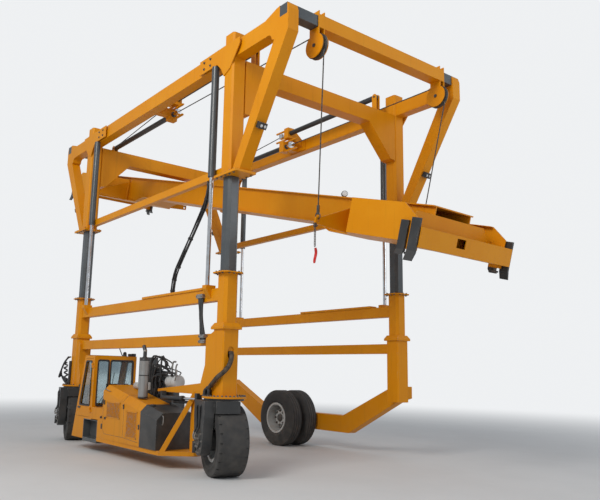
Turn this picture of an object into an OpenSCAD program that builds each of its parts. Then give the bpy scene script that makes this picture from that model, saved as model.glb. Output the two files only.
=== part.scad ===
// Three-wheeled straddle carrier with telescopic legs and a rope-hung spreader for forty foot boxes.
// +X points to the end where the spreader hangs low, the cab side is at -Y, Z is up,
// and the origin lies on the ground midway between the four legs. Millimetres.

/* [Stance] */
// Distance between the front and rear legs, centre to centre
wheelbase = 5840; // [5600:10:6400]
// Distance between the two leg planes, centre to centre
track = 3950; // [3900:10:4300]
// Angle of both cab-side forks from straight ahead, as parked
steer_deg = -16; // [-30:1:30]

/* [Tyres] */
// Outside diameter of the two wide cab-side tyres
tyre_d = 1060; // [1000:10:1080]
// Width of a cab-side tyre
tyre_w = 475; // [420:5:480]
// Distance of a cab-side tyre's middle inboard of its steering axis
tyre_in = 22; // [0:1:30]
// Outside diameter of the twin tyres on the far side
twin_d = 1170; // [1050:10:1200]
// Width of one twin tyre
twin_w = 300; // [260:5:310]
// Gap between the twin tyres
twin_gap = 110; // [80:5:130]
// Outside diameter of the steel rims
rim_d = 640; // [600:5:660]
// Distance of a cab-side rim's edges inside the tyre's faces
rim_recess = 45; // [20:1:60]
// Notches round each shoulder of a cab-side tyre
lug_n = 24; // [16:1:30]
// Depth of those notches
lug_depth = 14; // [8:1:20]
// Width of a notch along the tread
lug_gap = 22; // [12:1:40]
// Length of a notch across the tread
lug_length = 52; // [30:1:80]

/* [Legs] */
// Width of the dark inner columns across the flats
column_w = 220; // [200:5:230]
// Wall thickness of the middle and lower leg sleeves
sleeve_wall = 12; // [8:1:16]
// Side clearance between one leg stage and the next
stage_gap = 6; // [5:1:8]
// Running clearance at the wear rings
wear_gap = 0.3; // [0.2:0.1:0.6]
// Corner chamfer of the leg tubes
leg_chamfer = 45; // [30:1:60]
// Height of the wear rings
wear_h = 80; // [60:5:120]
// Stroke of the middle sleeves in the lower legs
mid_stroke = 350; // [300:10:370]
// Stroke of the dark columns in the middle sleeves
column_stroke = 950; // [800:10:980]
// Width of the upper legs of the top frame
upper_leg_w = 270; // [240:5:300]

// Distance of the lift cylinders outboard of the leg plane
lift_out = 120; // [118:1:140]
// Distance of the lift cylinders from the legs' centres, towards the middle
lift_inset = 415; // [400:5:440]
// Outside diameter of a lift cylinder
lift_barrel_d = 130; // [110:2:140]
// Diameter of a lift cylinder's rod
lift_rod_d = 70; // [60:2:76]

/* [Levels] */
// Underside of the plates bolted to the slewing rings
ring_z = 1150; // [1140:5:1200]
// Thickness of those plates
ring_plate = 30; // [20:1:40]
// Top of the flared collars of the lower legs
collar_z = 2300; // [2250:5:2320]
// Height of a flared collar
collar_h = 102; // [80:1:170]
// Top of the flanges on the middle sleeves
mid_z = 3100; // [3050:5:3200]
// Underside of the flanges of the top frame
flange_z = 4660; // [4600:5:4800]
// Underside of the two long side beams
side_z = 6700; // [6600:5:6800]
// Height of a side beam
side_h = 280; // [240:5:320]
// Width of a side beam
side_w = 200; // [160:5:220]
// Half the length of a side beam, to its tips
side_reach = 4420; // [4350:5:4500]
// Height of the post stubs above the side beams
stub_h = 170; // [120:5:220]
// Height of the cross beams under the side beams
cross_h = 300; // [260:5:340]
// Width of a cross beam
cross_w = 260; // [220:5:268]

/* [Rails] */
// Underside of the rail between the lower legs
low_rail_z = 1955; // [1940:5:1980]
// Height of the rail between the lower legs
low_rail_h = 185; // [150:5:190]
// Underside of the rail between the middle sleeves
mid_rail_z = 2660; // [2640:5:2700]
// Height of the rail between the middle sleeves
mid_rail_h = 200; // [160:5:220]
// Width of the rails
rail_w = 150; // [120:5:180]
// Underside of the tie between the upper legs
tie_z = 4740; // [4720:5:4800]
// Height of that tie
tie_h = 135; // [110:5:160]

/* [Hoist] */
// Diameter of the rope sheaves
sheave_d = 420; // [360:5:440]
// Width of a sheave
sheave_w = 70; // [66:1:80]
// Diameter of the hoist ropes
rope_d = 20; // [16:1:24]
// Distance between the two sheaves on one sliding sleeve
sheave_span = 2960; // [2900:10:3000]
// Sideways place of the front sliding sleeve, as parked
shift_front = 90; // [0:5:120]
// Sideways place of the rear sliding sleeve, as parked
shift_rear = 100; // [-150:5:120]
// Height of the sheaves' pins
sheave_z = 6600; // [6560:5:6640]
// Side of the dark inner slide beams
slide_w = 180; // [160:5:190]
// Wall of the sliding sleeves
shell_t = 16; // [12:1:20]
// Stroke of the hoist cylinders
hoist_stroke = 1700; // [1500:10:1750]
// Distance of the hoist cylinders from the leg plane, inboard
hoist_in = 465; // [440:5:480]
// Height of the rear-mounted hoist cylinders, which pull the front ropes
hoist_z_low = 6770; // [6765:5:6780]
// Height of the front-mounted hoist cylinders, which pull the rear ropes
hoist_z_high = 7060; // [7055:5:7080]
// Outside diameter of a hoist cylinder
hoist_d = 110; // [100:2:116]

/* [Spreader] */
// Length over the corner boxes of a forty foot load
spreader_l = 12192; // [12192:1:12200]
// Width over the corner boxes
spreader_w = 2438; // [2438:1:2440]
// Nose-down pitch of the hanging spreader
load_pitch = 14.6; // [13:0.1:15.5]
// Yaw of the hanging spreader
load_yaw = 2.6; // [0:0.1:3]
// Place of the spreader's reference point along the machine
load_x = -433; // [-500:1:-350]
// Place of the spreader's reference point across the machine
load_y = 283; // [200:1:320]
// Height of the spreader's reference point, level with the corner boxes' tops
load_z = 4810; // [4780:1:4850]
// Top of the main beam above the reference plane
beam_top = 764; // [740:2:780]
// Underside of the main beam in the middle
beam_foot = 274; // [260:2:300]
// Underside of the main beam at its ends, and of the end frames
end_foot = 134; // [120:2:160]
// Width over the main beam's flanges
beam_w = 1040; // [900:10:1100]
// Half the length of the main beam, up to the end frames
beam_half = 4200; // [4100:10:4250]
// Plate thickness of the spreader's webs
web_t = 20; // [12:1:25]
// Top of an end frame's side webs
end_top = 689; // [660:1:710]
// Distance of the lifting eyes from the spreader's middle, along it
eye_x = 4224; // [4220:1:4240]
// Distance of the lifting eyes from the spreader's middle, across it
eye_y = 1320; // [1300:5:1330]
// Height of the lifting eyes above the reference plane
eye_z = 250; // [230:5:300]

/* [Cab and bodywork] */
// Outer face of the cab and the engine cover
body_y = -2500; // [-2520:5:-2480]
// Width of the cab
cab_w = 890; // [860:5:900]
// Top of the cab roof
cab_top = 1800; // [1780:5:1850]
// Underside of the cab and the floor tray
floor_z = 210; // [180:5:240]
// Thickness of the cab's walls
cab_wall = 45; // [30:1:50]
// Height of the step box, and underside of the deck behind it
step_z = 600; // [580:5:620]
// Height of the deck between the cab and the engine cover
deck_z = 820; // [800:5:830]
// Rear end of the engine cover
hood_x0 = -340; // [-360:5:-300]
// Top of the engine cover at its rear end
hood_z0 = 1145; // [1100:5:1200]
// Top of the engine cover at its front end
hood_z1 = 860; // [820:5:900]
// Depth of the engine cover
hood_w = 560; // [500:10:600]
// Front wall of the cab
cab_x1 = -850; // [-880:5:-820]
// Foot of the raked rear window
cab_x0 = -1760; // [-1800:5:-1740]
// Rake of the rear window between foot and roof
cab_rake = 440; // [380:5:460]
// Front end of the engine cover
hood_x1 = 1200; // [1150:5:1250]
// Front end of the tank
tank_x1 = 1780; // [1750:5:1800]

/* [Hidden] */
$fn = 48;
eps = 0.01;
fit = 0.3; // gap between pieces that seat on each other
leg_x = wheelbase / 2;
leg_y = track / 2;
ends = [-1, 1];
yellow = "#e89a12";
slate = "#3a4043";
black = "#1c1d1e";
chrome = "#c9ccce";
pale = "#b9bcbb";
glass = "#6f8790";

// Nested leg tubes: width over flats of each stage, from the column outwards
mid_in = column_w + 2 * stage_gap;
mid_out = mid_in + 2 * sleeve_wall;
low_in = mid_out + 2 * stage_gap;
low_out = low_in + 2 * sleeve_wall;
leg_foot = ring_z + ring_plate;
column_foot = leg_foot + 10 + mid_stroke + column_stroke;
mid_foot = collar_z - 440;
mid_rail_top = mid_rail_z + mid_rail_h;
side_top = side_z + side_h;
upper_in = leg_y - upper_leg_w / 2;
arm_w = 120;

// Square with chamfered corners, across the flats w
module tube_face(w, c) {
  h = w / 2;
  polygon([[-h + c, -h], [h - c, -h], [h, -h + c], [h, h - c], [h - c, h], [-h + c, h], [-h, h - c], [-h, -h + c]]);
}

// Upright chamfered tube from z0 to z1
module tube(w, c, z0, z1) {
  translate([0, 0, z0]) linear_extrude(z1 - z0) tube_face(w, c);
}

// Plate or beam drawn in the XZ plane and thickened along Y from y0 to y1
module slab(y0, y1) {
  translate([0, y1, 0]) rotate([90, 0, 0]) linear_extrude(y1 - y0) children();
}

// Plate drawn in the YZ plane and thickened along X from x0 to x1
module wall(x0, x1) {
  translate([x0, 0, 0]) rotate([90, 0, 90]) linear_extrude(x1 - x0) children();
}

// Box between two corners
module box(a, b) {
  translate(a) cube(b - a);
}

// Turns +Z to point from a to b, with the origin at a
module along(a, b) {
  v = b - a;
  translate(a) rotate([0, acos(v.z / norm(v)), atan2(v.y, v.x)]) children();
}

// Round bar between two points
module bar(a, b, d) {
  along(a, b) cylinder(d = d, h = norm(b - a));
}

// Flared collar: a short square prism under a square frustum
module collar(z0, z1, w0, w1) {
  lip = 36;
  outline = [[-w0 / 2, z0], [w0 / 2, z0], [w0 / 2, z0 + lip], [w1 / 2, z1], [-w1 / 2, z1], [-w0 / 2, z0 + lip]];
  intersection() {
    slab(-w0, w0) polygon(outline);
    wall(-w0, w0) polygon(outline);
  }
}

// Lower leg sleeve with its wear ring and flared collar, from z0 up; the near front one has an oval hose hole
hose_hole_z = 1835;
hose_hole_w = 110;
hose_hole_h = 190;
module leg_sleeve(z0, hole = false) {
  collar_foot = collar_z - collar_h;
  difference() {
    union() {
      tube(low_out, 20, z0, collar_foot + 20);
      collar(collar_foot, collar_z, low_out + 60, mid_out + 14);
      children();
    }
    tube(low_in, leg_chamfer - 5, z0 + 5, collar_z - wear_h);
    if (hole) translate([low_out / 2 - 40, 0, hose_hole_z]) rotate([0, 90, 0]) {
      for (e = ends) translate([e * (hose_hole_h - hose_hole_w) / 2, 0, 0]) cylinder(d = hose_hole_w, h = 80);
      translate([0, 0, 40]) cube([hose_hole_h - hose_hole_w, hose_hole_w, 80], center = true);
    }
    tube(mid_out + 2 * wear_gap, leg_chamfer, collar_z - wear_h - eps, collar_z + 1);
  }
}

// Knee that widens a near leg towards the middle of the machine, on the ring plate
module knee(reach) {
  h = low_out / 2;
  top = collar_z - collar_h;
  slab(-h + 20, h - 20) polygon([[0, leg_foot], [0, top - 20], [-h, top - 20], [-h - reach, top - 130],
    [-h - reach, 1650], [-h - reach - 110, 1370], [-h - reach - 110, leg_foot]]);
  translate([0, 0, ring_z]) cylinder(d = 680, h = ring_plate + eps);
}

// Rail between two legs of one side; its ends sink into the sleeves' walls
module rail(w, z, h, leg_w) {
  x = leg_x - leg_w / 2 + 1;
  box([-x, -w / 2, z], [x, w / 2, z + h]);
}

// Cab-side lower frame: two legs, the low rail, and the hangers and sills that carry the bodywork
post_x = [2060, 2200];
rear_post_x = [-2130, -2010];
sill_y = [body_y + cab_w + fit, body_y + cab_w + 110];
skirt_x0 = hood_x0 - 200;
tray_h = 70;
tray_x1 = tank_x1 + 70;
module lower_frame_near() {
  color(yellow) {
    translate([0, -leg_y, 0]) {
      translate([leg_x, 0, 0]) leg_sleeve(leg_foot, hole = true) knee(240);
      mirror([1, 0, 0]) translate([leg_x, 0, 0]) leg_sleeve(leg_foot) knee(120);
      rail(rail_w, low_rail_z, low_rail_h, low_out);
      // Tapered arms from the knees
      slab(-arm_w / 2, arm_w / 2)
        polygon([[leg_x - 480, leg_foot + 2], [900, leg_foot + 2], [900, leg_foot + 45], [leg_x - 480, leg_foot + 190]]);
      slab(-arm_w / 2, arm_w / 2)
        polygon([[-leg_x + 360, leg_foot + 2], [rear_post_x[1], leg_foot + 2], [rear_post_x[1], leg_foot + 110], [-leg_x + 360, leg_foot + 190]]);
      box([post_x[0], -arm_w / 2, floor_z], [post_x[1], arm_w / 2, leg_foot + 10]);
      box([rear_post_x[0], -arm_w / 2, floor_z], [rear_post_x[1], arm_w / 2, leg_foot + 10]);
    }
    // Inner sill, its ends turned out to the hangers, and the tray under engine and tank
    box([rear_post_x[0], sill_y[0], floor_z], [post_x[1], sill_y[1], floor_z + 200]);
    box([rear_post_x[0], -leg_y - arm_w / 2, floor_z], [rear_post_x[1], sill_y[1], floor_z + 110]);
    translate([0, 0, floor_z]) linear_extrude(tray_h) polygon([[skirt_x0, body_y], [tray_x1, body_y + 20],
      [post_x[1], -leg_y - arm_w / 2], [post_x[1], sill_y[1]], [skirt_x0, sill_y[1]]]);
    // Square brace from the arm to the outer corner of the tray
    along(brace[0], brace[1]) translate([-40, -40, 0]) cube([80, 80, norm(brace[1] - brace[0])]);
  }
}
brace = [[post_x[1] - 50, -leg_y - 30, leg_foot + 30], [tray_x1 - 5, body_y + 75, floor_z + 40]];

// Side outline of the cab, inset by t
module cab_outline(t) {
  k = cab_rake / (cab_top - floor_z);
  r = t * sqrt(1 + k * k);
  polygon([[cab_x0 + r + k * t, floor_z + t], [cab_x1 - t, floor_z + t], [cab_x1 - t, cab_top - t],
    [cab_x0 + cab_rake + r - k * t, cab_top - t]]);
}

// Door opening and windows share these levels
door_z0 = step_z + 20;
door_z1 = cab_top - 55;
sill_z = 840;
pane_top = cab_top - 90;
door_gap = 5;
door_edge = 60;
pane_t = 6;
function rear_x(z) = cab_x0 + cab_rake * (z - floor_z) / (cab_top - floor_z);
module door_outline(g) {
  polygon([[rear_x(door_z0) + 70 + g, door_z0 + g], [cab_x1 - door_edge - g, door_z0 + g],
    [cab_x1 - door_edge - g, door_z1 - g], [rear_x(door_z1) + 70 + g, door_z1 - g]]);
}
module door_window(g) {
  polygon([[rear_x(sill_z) + 125 + 1.3 * g, sill_z + g], [cab_x1 - 115 - g, sill_z + g],
    [cab_x1 - 115 - g, pane_top - 20 - g], [rear_x(pane_top) + 115 + 1.3 * g, pane_top - 20 - g]]);
}
// Front panes: inner and outer edge across the machine, and sill
front_panes = [[body_y + 80, body_y + 300, sill_z], [body_y + 345, body_y + cab_w - 70, 1060]];

// Lift-off hinges: each door knuckle turns on top of the cab's knuckle, outboard of the front door post
hinge_x = cab_x1 - door_edge - door_gap / 2;
hinge_out = 16;
hinge_d = 26;
hinge_h = 45;
hinge_zs = [720, 1560];
module knuckle(side, z0) {
  translate([hinge_x, body_y - hinge_out, z0]) {
    cylinder(d = hinge_d, h = hinge_h);
    box([side > 0 ? 0 : -44, -4, 0], [side > 0 ? 44 : 0, 4, hinge_h]);
    box([side > 0 ? 24 : -44, -4, 0], [side > 0 ? 44 : -24, hinge_out + 1, hinge_h]);
  }
}

step_x = [cab_x1 - 350, skirt_x0 - fit];
step_w = 255;
step_rim = 14;
step_depth = 150;
module cab_shell() {
  y1 = body_y + cab_w;
  t = cab_wall;
  color(yellow) difference() {
    slab(body_y, y1) cab_outline(0);
    // The room inside keeps a well round the steps
    difference() {
      slab(body_y + t, y1 - t) cab_outline(t);
      box([step_x[0] - 35, body_y, floor_z], [cab_x1, body_y + step_w + 40, step_z + 15]);
    }
    box([step_x[0] - 5, body_y - 1, floor_z - 1], [cab_x1 + 1, body_y + step_w + 5, step_z - 15]);
    slab(body_y - 1, body_y + t + 1) door_outline(0);
    slab(y1 - t - 1, y1 + 1) door_window(0);
    for (p = front_panes) box([cab_x1 - t - 1, p[0], p[2]], [cab_x1 + 1, p[1], pane_top]);
    slab(body_y + 80, y1 - 80) polygon([[cab_x0 - 10, sill_z], [rear_x(sill_z) + 90, sill_z],
      [rear_x(pane_top) + 90, pane_top], [cab_x0 - 10, pane_top]]);
  }
  color(yellow) for (z = hinge_zs) knuckle(1, z);
}

module cab_glass() {
  y1 = body_y + cab_w;
  z0 = sill_z + fit;
  z1 = pane_top - fit;
  color(glass, 0.5) {
    for (p = front_panes) box([cab_x1 - 28, p[0] + fit, p[2] + fit], [cab_x1 - 28 + pane_t, p[1] - fit, z1]);
    slab(y1 - 20 - pane_t, y1 - 20) door_window(fit);
    slab(body_y + 80 + fit, y1 - 80 - fit)
      polygon([[rear_x(z0) + 22, z0], [rear_x(z0) + 22 + pane_t, z0], [rear_x(z1) + 22 + pane_t, z1], [rear_x(z1) + 22, z1]]);
  }
}

// Seat on a pedestal and wheel on its column, facing the raked window
seat_h = 450;
seat_w = 460;
seat_l = 400;
wheel_h = 600;
wheel_d = 250;
module driver_seat() {
  l = seat_l / 2;
  w = seat_w / 2;
  color(black) translate([cab_x1 - 270, body_y + cab_w / 2 + 115, floor_z + cab_wall + fit]) {
    box([-l / 2, -w / 2, 0], [l / 2, w / 2, seat_h - 90]);
    box([-l, -w, seat_h - 90], [l, w, seat_h]);
    box([l / 2, -w + 10, seat_h - 1], [l - 10, w - 10, seat_h + 550]);
    translate([-l - 60, 0, 0]) cylinder(d = 70, h = wheel_h);
    translate([-l - 65, 0, wheel_h]) rotate([0, 20, 0]) cylinder(d = wheel_d, h = 26);
  }
}

module cab_door() {
  color(yellow) difference() {
    slab(body_y, body_y + cab_wall) door_outline(door_gap);
    slab(body_y - 1, body_y + cab_wall + 1) door_window(0);
  }
  color(yellow) for (z = hinge_zs) knuckle(-1, z + hinge_h + fit);
}

module door_glass() {
  color(glass, 0.5) slab(body_y + 18, body_y + 18 + pane_t) door_window(fit);
}

// Engine cover: a hollow hood with a sloping top and chamfered outer edge, behind it the deck by the cab.
// Grilles: rear end, front end, foot and head of each slotted panel
grilles = [[-150, 400, 680, 950], [690, 1080, 400, 830]];
hood_drop = (hood_z0 - hood_z1) / (hood_x1 - hood_x0);
module hood_side(t) {
  polygon([[hood_x0 + t, floor_z + tray_h + fit], [hood_x1 - t, floor_z + tray_h + fit],
    [hood_x1 - t, hood_z1 + hood_edge - t], [hood_x0 + t, hood_z0 + hood_edge - t]]);
}
hood_edge = 110;
hood_wall = 30;
// Sloped wedge outboard of the chamfer plane, moved inwards by t
module hood_chamfer(t) {
  multmatrix([[1, 0, 0, 0], [0, 1, 0, 0], [-hood_drop, 0, 1, 0], [0, 0, 0, 1]])
    translate([0, body_y, hood_z0 + hood_drop * hood_x0]) wall(hood_x0 - 50, tank_x1 + 50)
    polygon([[-1, -1.4 * t - 1], [hood_edge + 1.4 * t + 1, hood_edge + 1], [hood_edge + 1.4 * t + 1, hood_edge + 60], [-1, hood_edge + 60]]);
}
module engine_cover() {
  y1 = body_y + hood_w;
  color(yellow) {
    difference() {
      slab(body_y, y1) hood_side(0);
      hood_chamfer(0);
      difference() {
        slab(body_y + hood_wall, y1 - hood_wall) translate([0, -hood_wall]) hood_side(hood_wall);
        hood_chamfer(hood_wall);
      }
      for (g = grilles) for (z = [g[2] : 40 : g[3] - 20]) box([g[0], body_y - 1, z], [g[1], body_y + 12, z + 20]);
    }
  }
}

// Deck plate between cab and cover, over the skirt beside the step box
module cab_deck() {
  y1 = body_y + hood_w;
  color(yellow) {
    box([cab_x1 + fit, body_y, step_z], [hood_x0 - fit, y1, deck_z]);
    box([skirt_x0, body_y, floor_z + tray_h + fit], [hood_x0 - fit, y1, step_z - fit]);
  }
}

// Engine between the cover and the sill: block, cooler, upright filters and the air cleaner on its stand
engine_x = [-200, 1180];
engine_top = 1050;
cooler_l = 360;
cooler_top = 1780;
filter_ds = [190, 150, 120];
filter_xs = [330, 620, 800];
filter_tops = [1640, 1520, 1400];
cleaner_d = 230;
cleaner_l = 330;
cleaner_z = 1345;
module engine_block() {
  y0 = body_y + hood_w + 40;
  y1 = body_y + cab_w - 30;
  ym = (y0 + y1) / 2;
  color(slate) {
    box([engine_x[0], y0, floor_z + tray_h + fit], [engine_x[1], y1, engine_top]);
    box([engine_x[0] + 20, y0 + 20, engine_top - eps], [engine_x[0] + cooler_l, y1 - 20, cooler_top]);
    for (i = [0 : 2]) translate([filter_xs[i], ym, engine_top - eps]) cylinder(d = filter_ds[i], h = filter_tops[i] - engine_top);
    translate([engine_x[1] - cleaner_l, ym, cleaner_z]) rotate([0, 90, 0]) cylinder(d = cleaner_d, h = cleaner_l);
    box([engine_x[1] - cleaner_l + 80, ym - 60, engine_top - eps], [engine_x[1] - 80, ym + 60, cleaner_z - 60]);
  }
}

// Upright silencer on the engine cover, with its bent tail pipe
exhaust_x = 800;
exhaust_y = body_y + 230;
silencer_d = 170;
silencer_top = 1720;
tail_d = 64;
tail_top = 1985;
tail_bend = 60;
module exhaust() {
  foot = hood_z0 + hood_edge + fit - hood_drop * (exhaust_x - silencer_d / 2 - hood_x0);
  knee = tail_top - 110;
  color(pale) translate([exhaust_x, exhaust_y, 0]) {
    translate([0, 0, foot]) cylinder(d = silencer_d, h = silencer_top - foot);
    translate([0, 0, silencer_top - 1]) cylinder(d = tail_d, h = knee - silencer_top + 1);
    translate([0, 0, knee]) sphere(d = tail_d + 5);
    bar([0, 0, knee], [-tail_bend, 0, tail_top - 15], tail_d);
  }
}

// Tank: carries the engine cover's slope and chamfer on
module fuel_tank() {
  x0 = hood_x1 + 5;
  foot = floor_z + tray_h + fit;
  head = hood_z1 + hood_edge;
  color(black) difference() {
    slab(body_y, body_y + hood_w + 80)
      polygon([[x0, foot], [tank_x1, foot], [tank_x1, head - hood_drop * (tank_x1 - hood_x1)], [x0, head - hood_drop * (x0 - hood_x1)]]);
    hood_chamfer(0);
  }
}

// Step box under the deck, one wide pocket open to the outside
module cab_steps() {
  color(slate) difference() {
    box([step_x[0], body_y, floor_z - 40], [step_x[1], body_y + step_w, step_z - 15 - fit]);
    box([step_x[0] + step_rim, body_y - 1, floor_z + 30], [step_x[1] - step_rim, body_y + step_depth, step_z - 15 - step_rim]);
  }
}

// Fork of a cab-side wheel: slewing ring, arched crown over the tyre, outboard leg, hub motor and spindle
fork_gap = 20;
fork_leg = 150;
leg_half = 280;
crown_half = 380;
crown_in = 140;
crown_foot = 940;
crown_gap = 22;
spindle_d = 140;
module fork_body() {
  axle = tyre_d / 2;
  top = ring_z - 32;
  y_in = tyre_in - tyre_w / 2 - fork_gap;
  y_out = y_in - fork_leg;
  color(black) {
    translate([0, 0, top - eps]) cylinder(d = 620, h = 32 - fit);
    difference() {
      box([-crown_half, y_in - 1, crown_foot], [crown_half, crown_in, top]);
      translate([0, crown_in + 1, axle]) rotate([90, 0, 0]) cylinder(r = axle + crown_gap, h = crown_in + 1 - y_in, $fn = 96);
    }
    slab(y_out, y_in) {
      polygon([[-leg_half, top], [leg_half, top], [leg_half, tyre_d - 180], [220, axle], [-220, axle], [-leg_half, tyre_d - 180]]);
      translate([0, axle]) circle(r = 220);
    }
    translate([0, y_out + 1, axle]) rotate([90, 0, 0]) cylinder(d = 230, h = 22);
    translate([0, tyre_in - 30, axle]) rotate([90, 0, 0]) cylinder(d = 300, h = tyre_in - 30 - y_in + 1);
    translate([0, tyre_in - 4, axle]) rotate([90, 0, 0]) cylinder(d = spindle_d, h = 30);
  }
}

// Tyre on the Y axis: bead recessed by c, shoulder width s, and n notches in each shoulder
module tyre(d, w, c, s, n) {
  r = d / 2;
  b = rim_d / 2;
  difference() {
    rotate([90, 0, 0]) rotate_extrude($fn = 96) polygon([[b, -w / 2 + c], [b + 45, -w / 2 + 4], [b + 90, -w / 2], [r - 70, -w / 2],
      [r - s * 0.4, -w / 2 + s * 0.4], [r, -w / 2 + s], [r, w / 2 - s], [r - s * 0.4, w / 2 - s * 0.4], [r - 70, w / 2],
      [b + 90, w / 2], [b + 45, w / 2 - 4], [b, w / 2 - c]]);
    if (n > 0) for (i = [0 : n - 1], e = ends) rotate([0, (i + (e > 0 ? 0.5 : 0)) * 360 / n, 0])
      translate([0, e * w / 2, r]) cube([lug_gap, 2 * lug_length, 2 * lug_depth], center = true);
  }
}

module at_fork(s) {
  translate([s * leg_x, -leg_y, 0]) rotate([0, 0, steer_deg]) children();
}

module near_tyre(s) {
  color(black) at_fork(s) translate([0, tyre_in, tyre_d / 2]) tyre(tyre_d, tyre_w, rim_recess, 26, lug_n);
}

// Deep rim: its disc sits in the wheel's middle plane and turns on the fork's spindle
module near_rim(s) {
  r = rim_d / 2 - fit;
  w = tyre_w / 2 - rim_recess;
  color(pale) at_fork(s) translate([0, tyre_in, tyre_d / 2]) rotate([90, 0, 0]) {
    rotate_extrude($fn = 72) polygon([[r - 45, -w], [r, -w], [r, w], [r - 45, w], [r - 45, 24], [spindle_d / 2 + fit, 24],
      [spindle_d / 2 + fit, 0], [r - 45, 0]]);
    translate([0, 0, -60]) cylinder(d = 260, h = 62);
  }
}

// Middle frame of one side, outboard towards -Y: flanged sleeves, rail, hose tray and rod brackets
rod_x = leg_x - lift_inset;
rod_foot = mid_rail_top + 60;
module mid_frame() {
  color(yellow) {
    for (s = ends) translate([s * leg_x, 0, 0]) difference() {
      union() {
        tube(mid_out, leg_chamfer, mid_foot, mid_z);
        tube(400, leg_chamfer + 20, mid_z - 20, mid_z);
      }
      tube(mid_in, leg_chamfer - 5, mid_foot - 1, mid_z - wear_h);
      tube(column_w + 2 * wear_gap, leg_chamfer, mid_z - wear_h - eps, mid_z + 1);
    }
    rail(rail_w, mid_rail_z, mid_rail_h, mid_out);
    box([150, -rail_w / 2 - 20, mid_rail_top - eps], [2300, rail_w / 2 + 20, mid_rail_top + tray_rim]);
    for (s = ends) wall(s * rod_x - 60, s * rod_x + 60)
      polygon([[1 - rail_w / 2, mid_rail_z + 40], [-lift_out - 60, mid_rail_top], [-lift_out - 60, rod_foot], [0, rod_foot], [0, mid_rail_z + 40]]);
  }
}
tray_rim = 40;

module near_side() { translate([0, -leg_y, 0]) children(); }
module far_side() { mirror([0, 1, 0]) near_side() children(); }
module both_sides() {
  near_side() children();
  far_side() children();
}

// Rods of the lift cylinders, standing on the brackets of the middle frame
module lift_rods() {
  color(chrome) for (s = ends) translate([s * rod_x, -lift_out, rod_foot + fit])
    cylinder(d = lift_rod_d, h = flange_z + 250 - rod_foot);
}

module lift_barrels() {
  foot = flange_z + 80;
  color(slate) both_sides() for (s = ends) translate([s * rod_x, -lift_out, foot]) difference() {
    cylinder(d = lift_barrel_d, h = side_z - foot - fit);
    translate([0, 0, -1]) cylinder(d = lift_rod_d + 2, h = side_z - foot - 60);
  }
}

// One side of the top frame in the XZ plane: beam, raised tips and raked struts
strut_top = [side_reach + 30, side_z - 70];
strut_foot = [leg_x + 360, flange_z + 40];
strut_w = 225;
tip_eye_r = 110;
module side_face() {
  difference() {
    union() {
      translate([-side_reach, side_z]) square([2 * side_reach, side_h]);
      for (s = ends) scale([s, 1]) {
        polygon([[side_reach - 560, side_top - 1], [side_reach - 260, side_top + 90], [side_reach - 60, side_top + 120],
          [side_reach, side_top + 90], [side_reach + 30, side_top], [side_reach + 30, side_z - 60],
          [side_reach - 330, side_z - 120], [side_reach - 560, side_z + 1]]);
        polygon([[strut_top.x, side_z + 20], strut_top, strut_foot, [strut_foot.x - strut_w, strut_foot.y],
          [strut_top.x - strut_w - 60, side_z - 20]]);
      }
    }
    // Rounded eye between beam, tip and strut
    for (s = ends) scale([s, 1]) translate([side_reach - 480, side_z - tip_eye_r]) circle(r = tip_eye_r);
  }
}

// Top frame of one side, outboard towards -Y, notched at its tips for the slide beams
slide_x = side_reach - 90;
slide_foot = side_top - 90;
module side_frame() {
  color(yellow) difference() {
    union() {
      slab(-side_w / 2, side_w / 2) side_face();
      for (s = ends) {
        translate([s * leg_x, 0, 0]) tube(upper_leg_w, 30, flange_z, side_top + stub_h);
        slab(-200, 200) scale([s, 1]) translate([leg_x - 220, flange_z]) square([620, 40]);
        // Outer knee plate where beam and leg meet
        slab(-upper_leg_w / 2 - 16, -upper_leg_w / 2 + 1) scale([s, 1]) translate([leg_x, 0])
          polygon([[-900, side_z + 10], [-900, side_top - 10], [330, side_top - 10], [330, side_top - 130],
            [60, side_z - 190], [-120, side_z - 270], [-200, side_z - 120], [-330, side_z + 10]]);
      }
      box([-leg_x, -50, tie_z], [leg_x, 50, tie_z + tie_h]);
    }
    for (s = ends) box([s * slide_x - slide_w / 2 - fit, -side_w, slide_foot - fit], [s * slide_x + slide_w / 2 + fit, side_w, side_top + 300]);
  }
}

// Cross beams under the side beams, with tapered box gussets down the legs and clevises for the hoist cylinders
hoist_y = leg_y - hoist_in;
hoist_eye_x = leg_x - 70;
gusset_h = 950;
gusset_w = 720;
gusset_toe = 130;
module cross_beams() {
  y = upper_in - fit;
  toe_z = side_z - gusset_h;
  color(yellow) for (s = ends) translate([s * leg_x, 0, 0]) {
    wall(-cross_w / 2, cross_w / 2) polygon([[-y, side_z - fit], [y, side_z - fit], [y, toe_z], [y - gusset_toe, toe_z + 20],
      [y - gusset_w, side_z - cross_h], [-y + gusset_w, side_z - cross_h], [-y + gusset_toe, toe_z + 20], [-y, toe_z]]);
  }
  color(yellow) for (s = ends, t = ends, e = ends) {
    z = s > 0 ? hoist_z_high : hoist_z_low;
    translate([s * hoist_eye_x, t * hoist_y + e * 42, 0]) difference() {
      slab(-8, 8) {
        translate([-60, side_z - 1]) square([120, z - side_z]);
        translate([0, z]) circle(r = 60);
      }
      translate([0, -20, z]) rotate([-90, 0, 0]) cylinder(d = hoist_pin_d + 2 * fit, h = 40);
    }
  }
}

module leg_columns() {
  color(slate) for (s = ends, t = ends) translate([s * leg_x, t * leg_y, 0]) {
    tube(column_w, leg_chamfer, column_foot, flange_z - fit);
    tube(mid_in - 2 * wear_gap, leg_chamfer - 5, column_foot, column_foot + wear_h);
  }
}

module slide_beams() {
  y = leg_y + side_w / 2;
  color(slate) for (s = ends) box([s * slide_x - slide_w / 2, -y, slide_foot], [s * slide_x + slide_w / 2, y, slide_foot + slide_w]);
}

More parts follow.
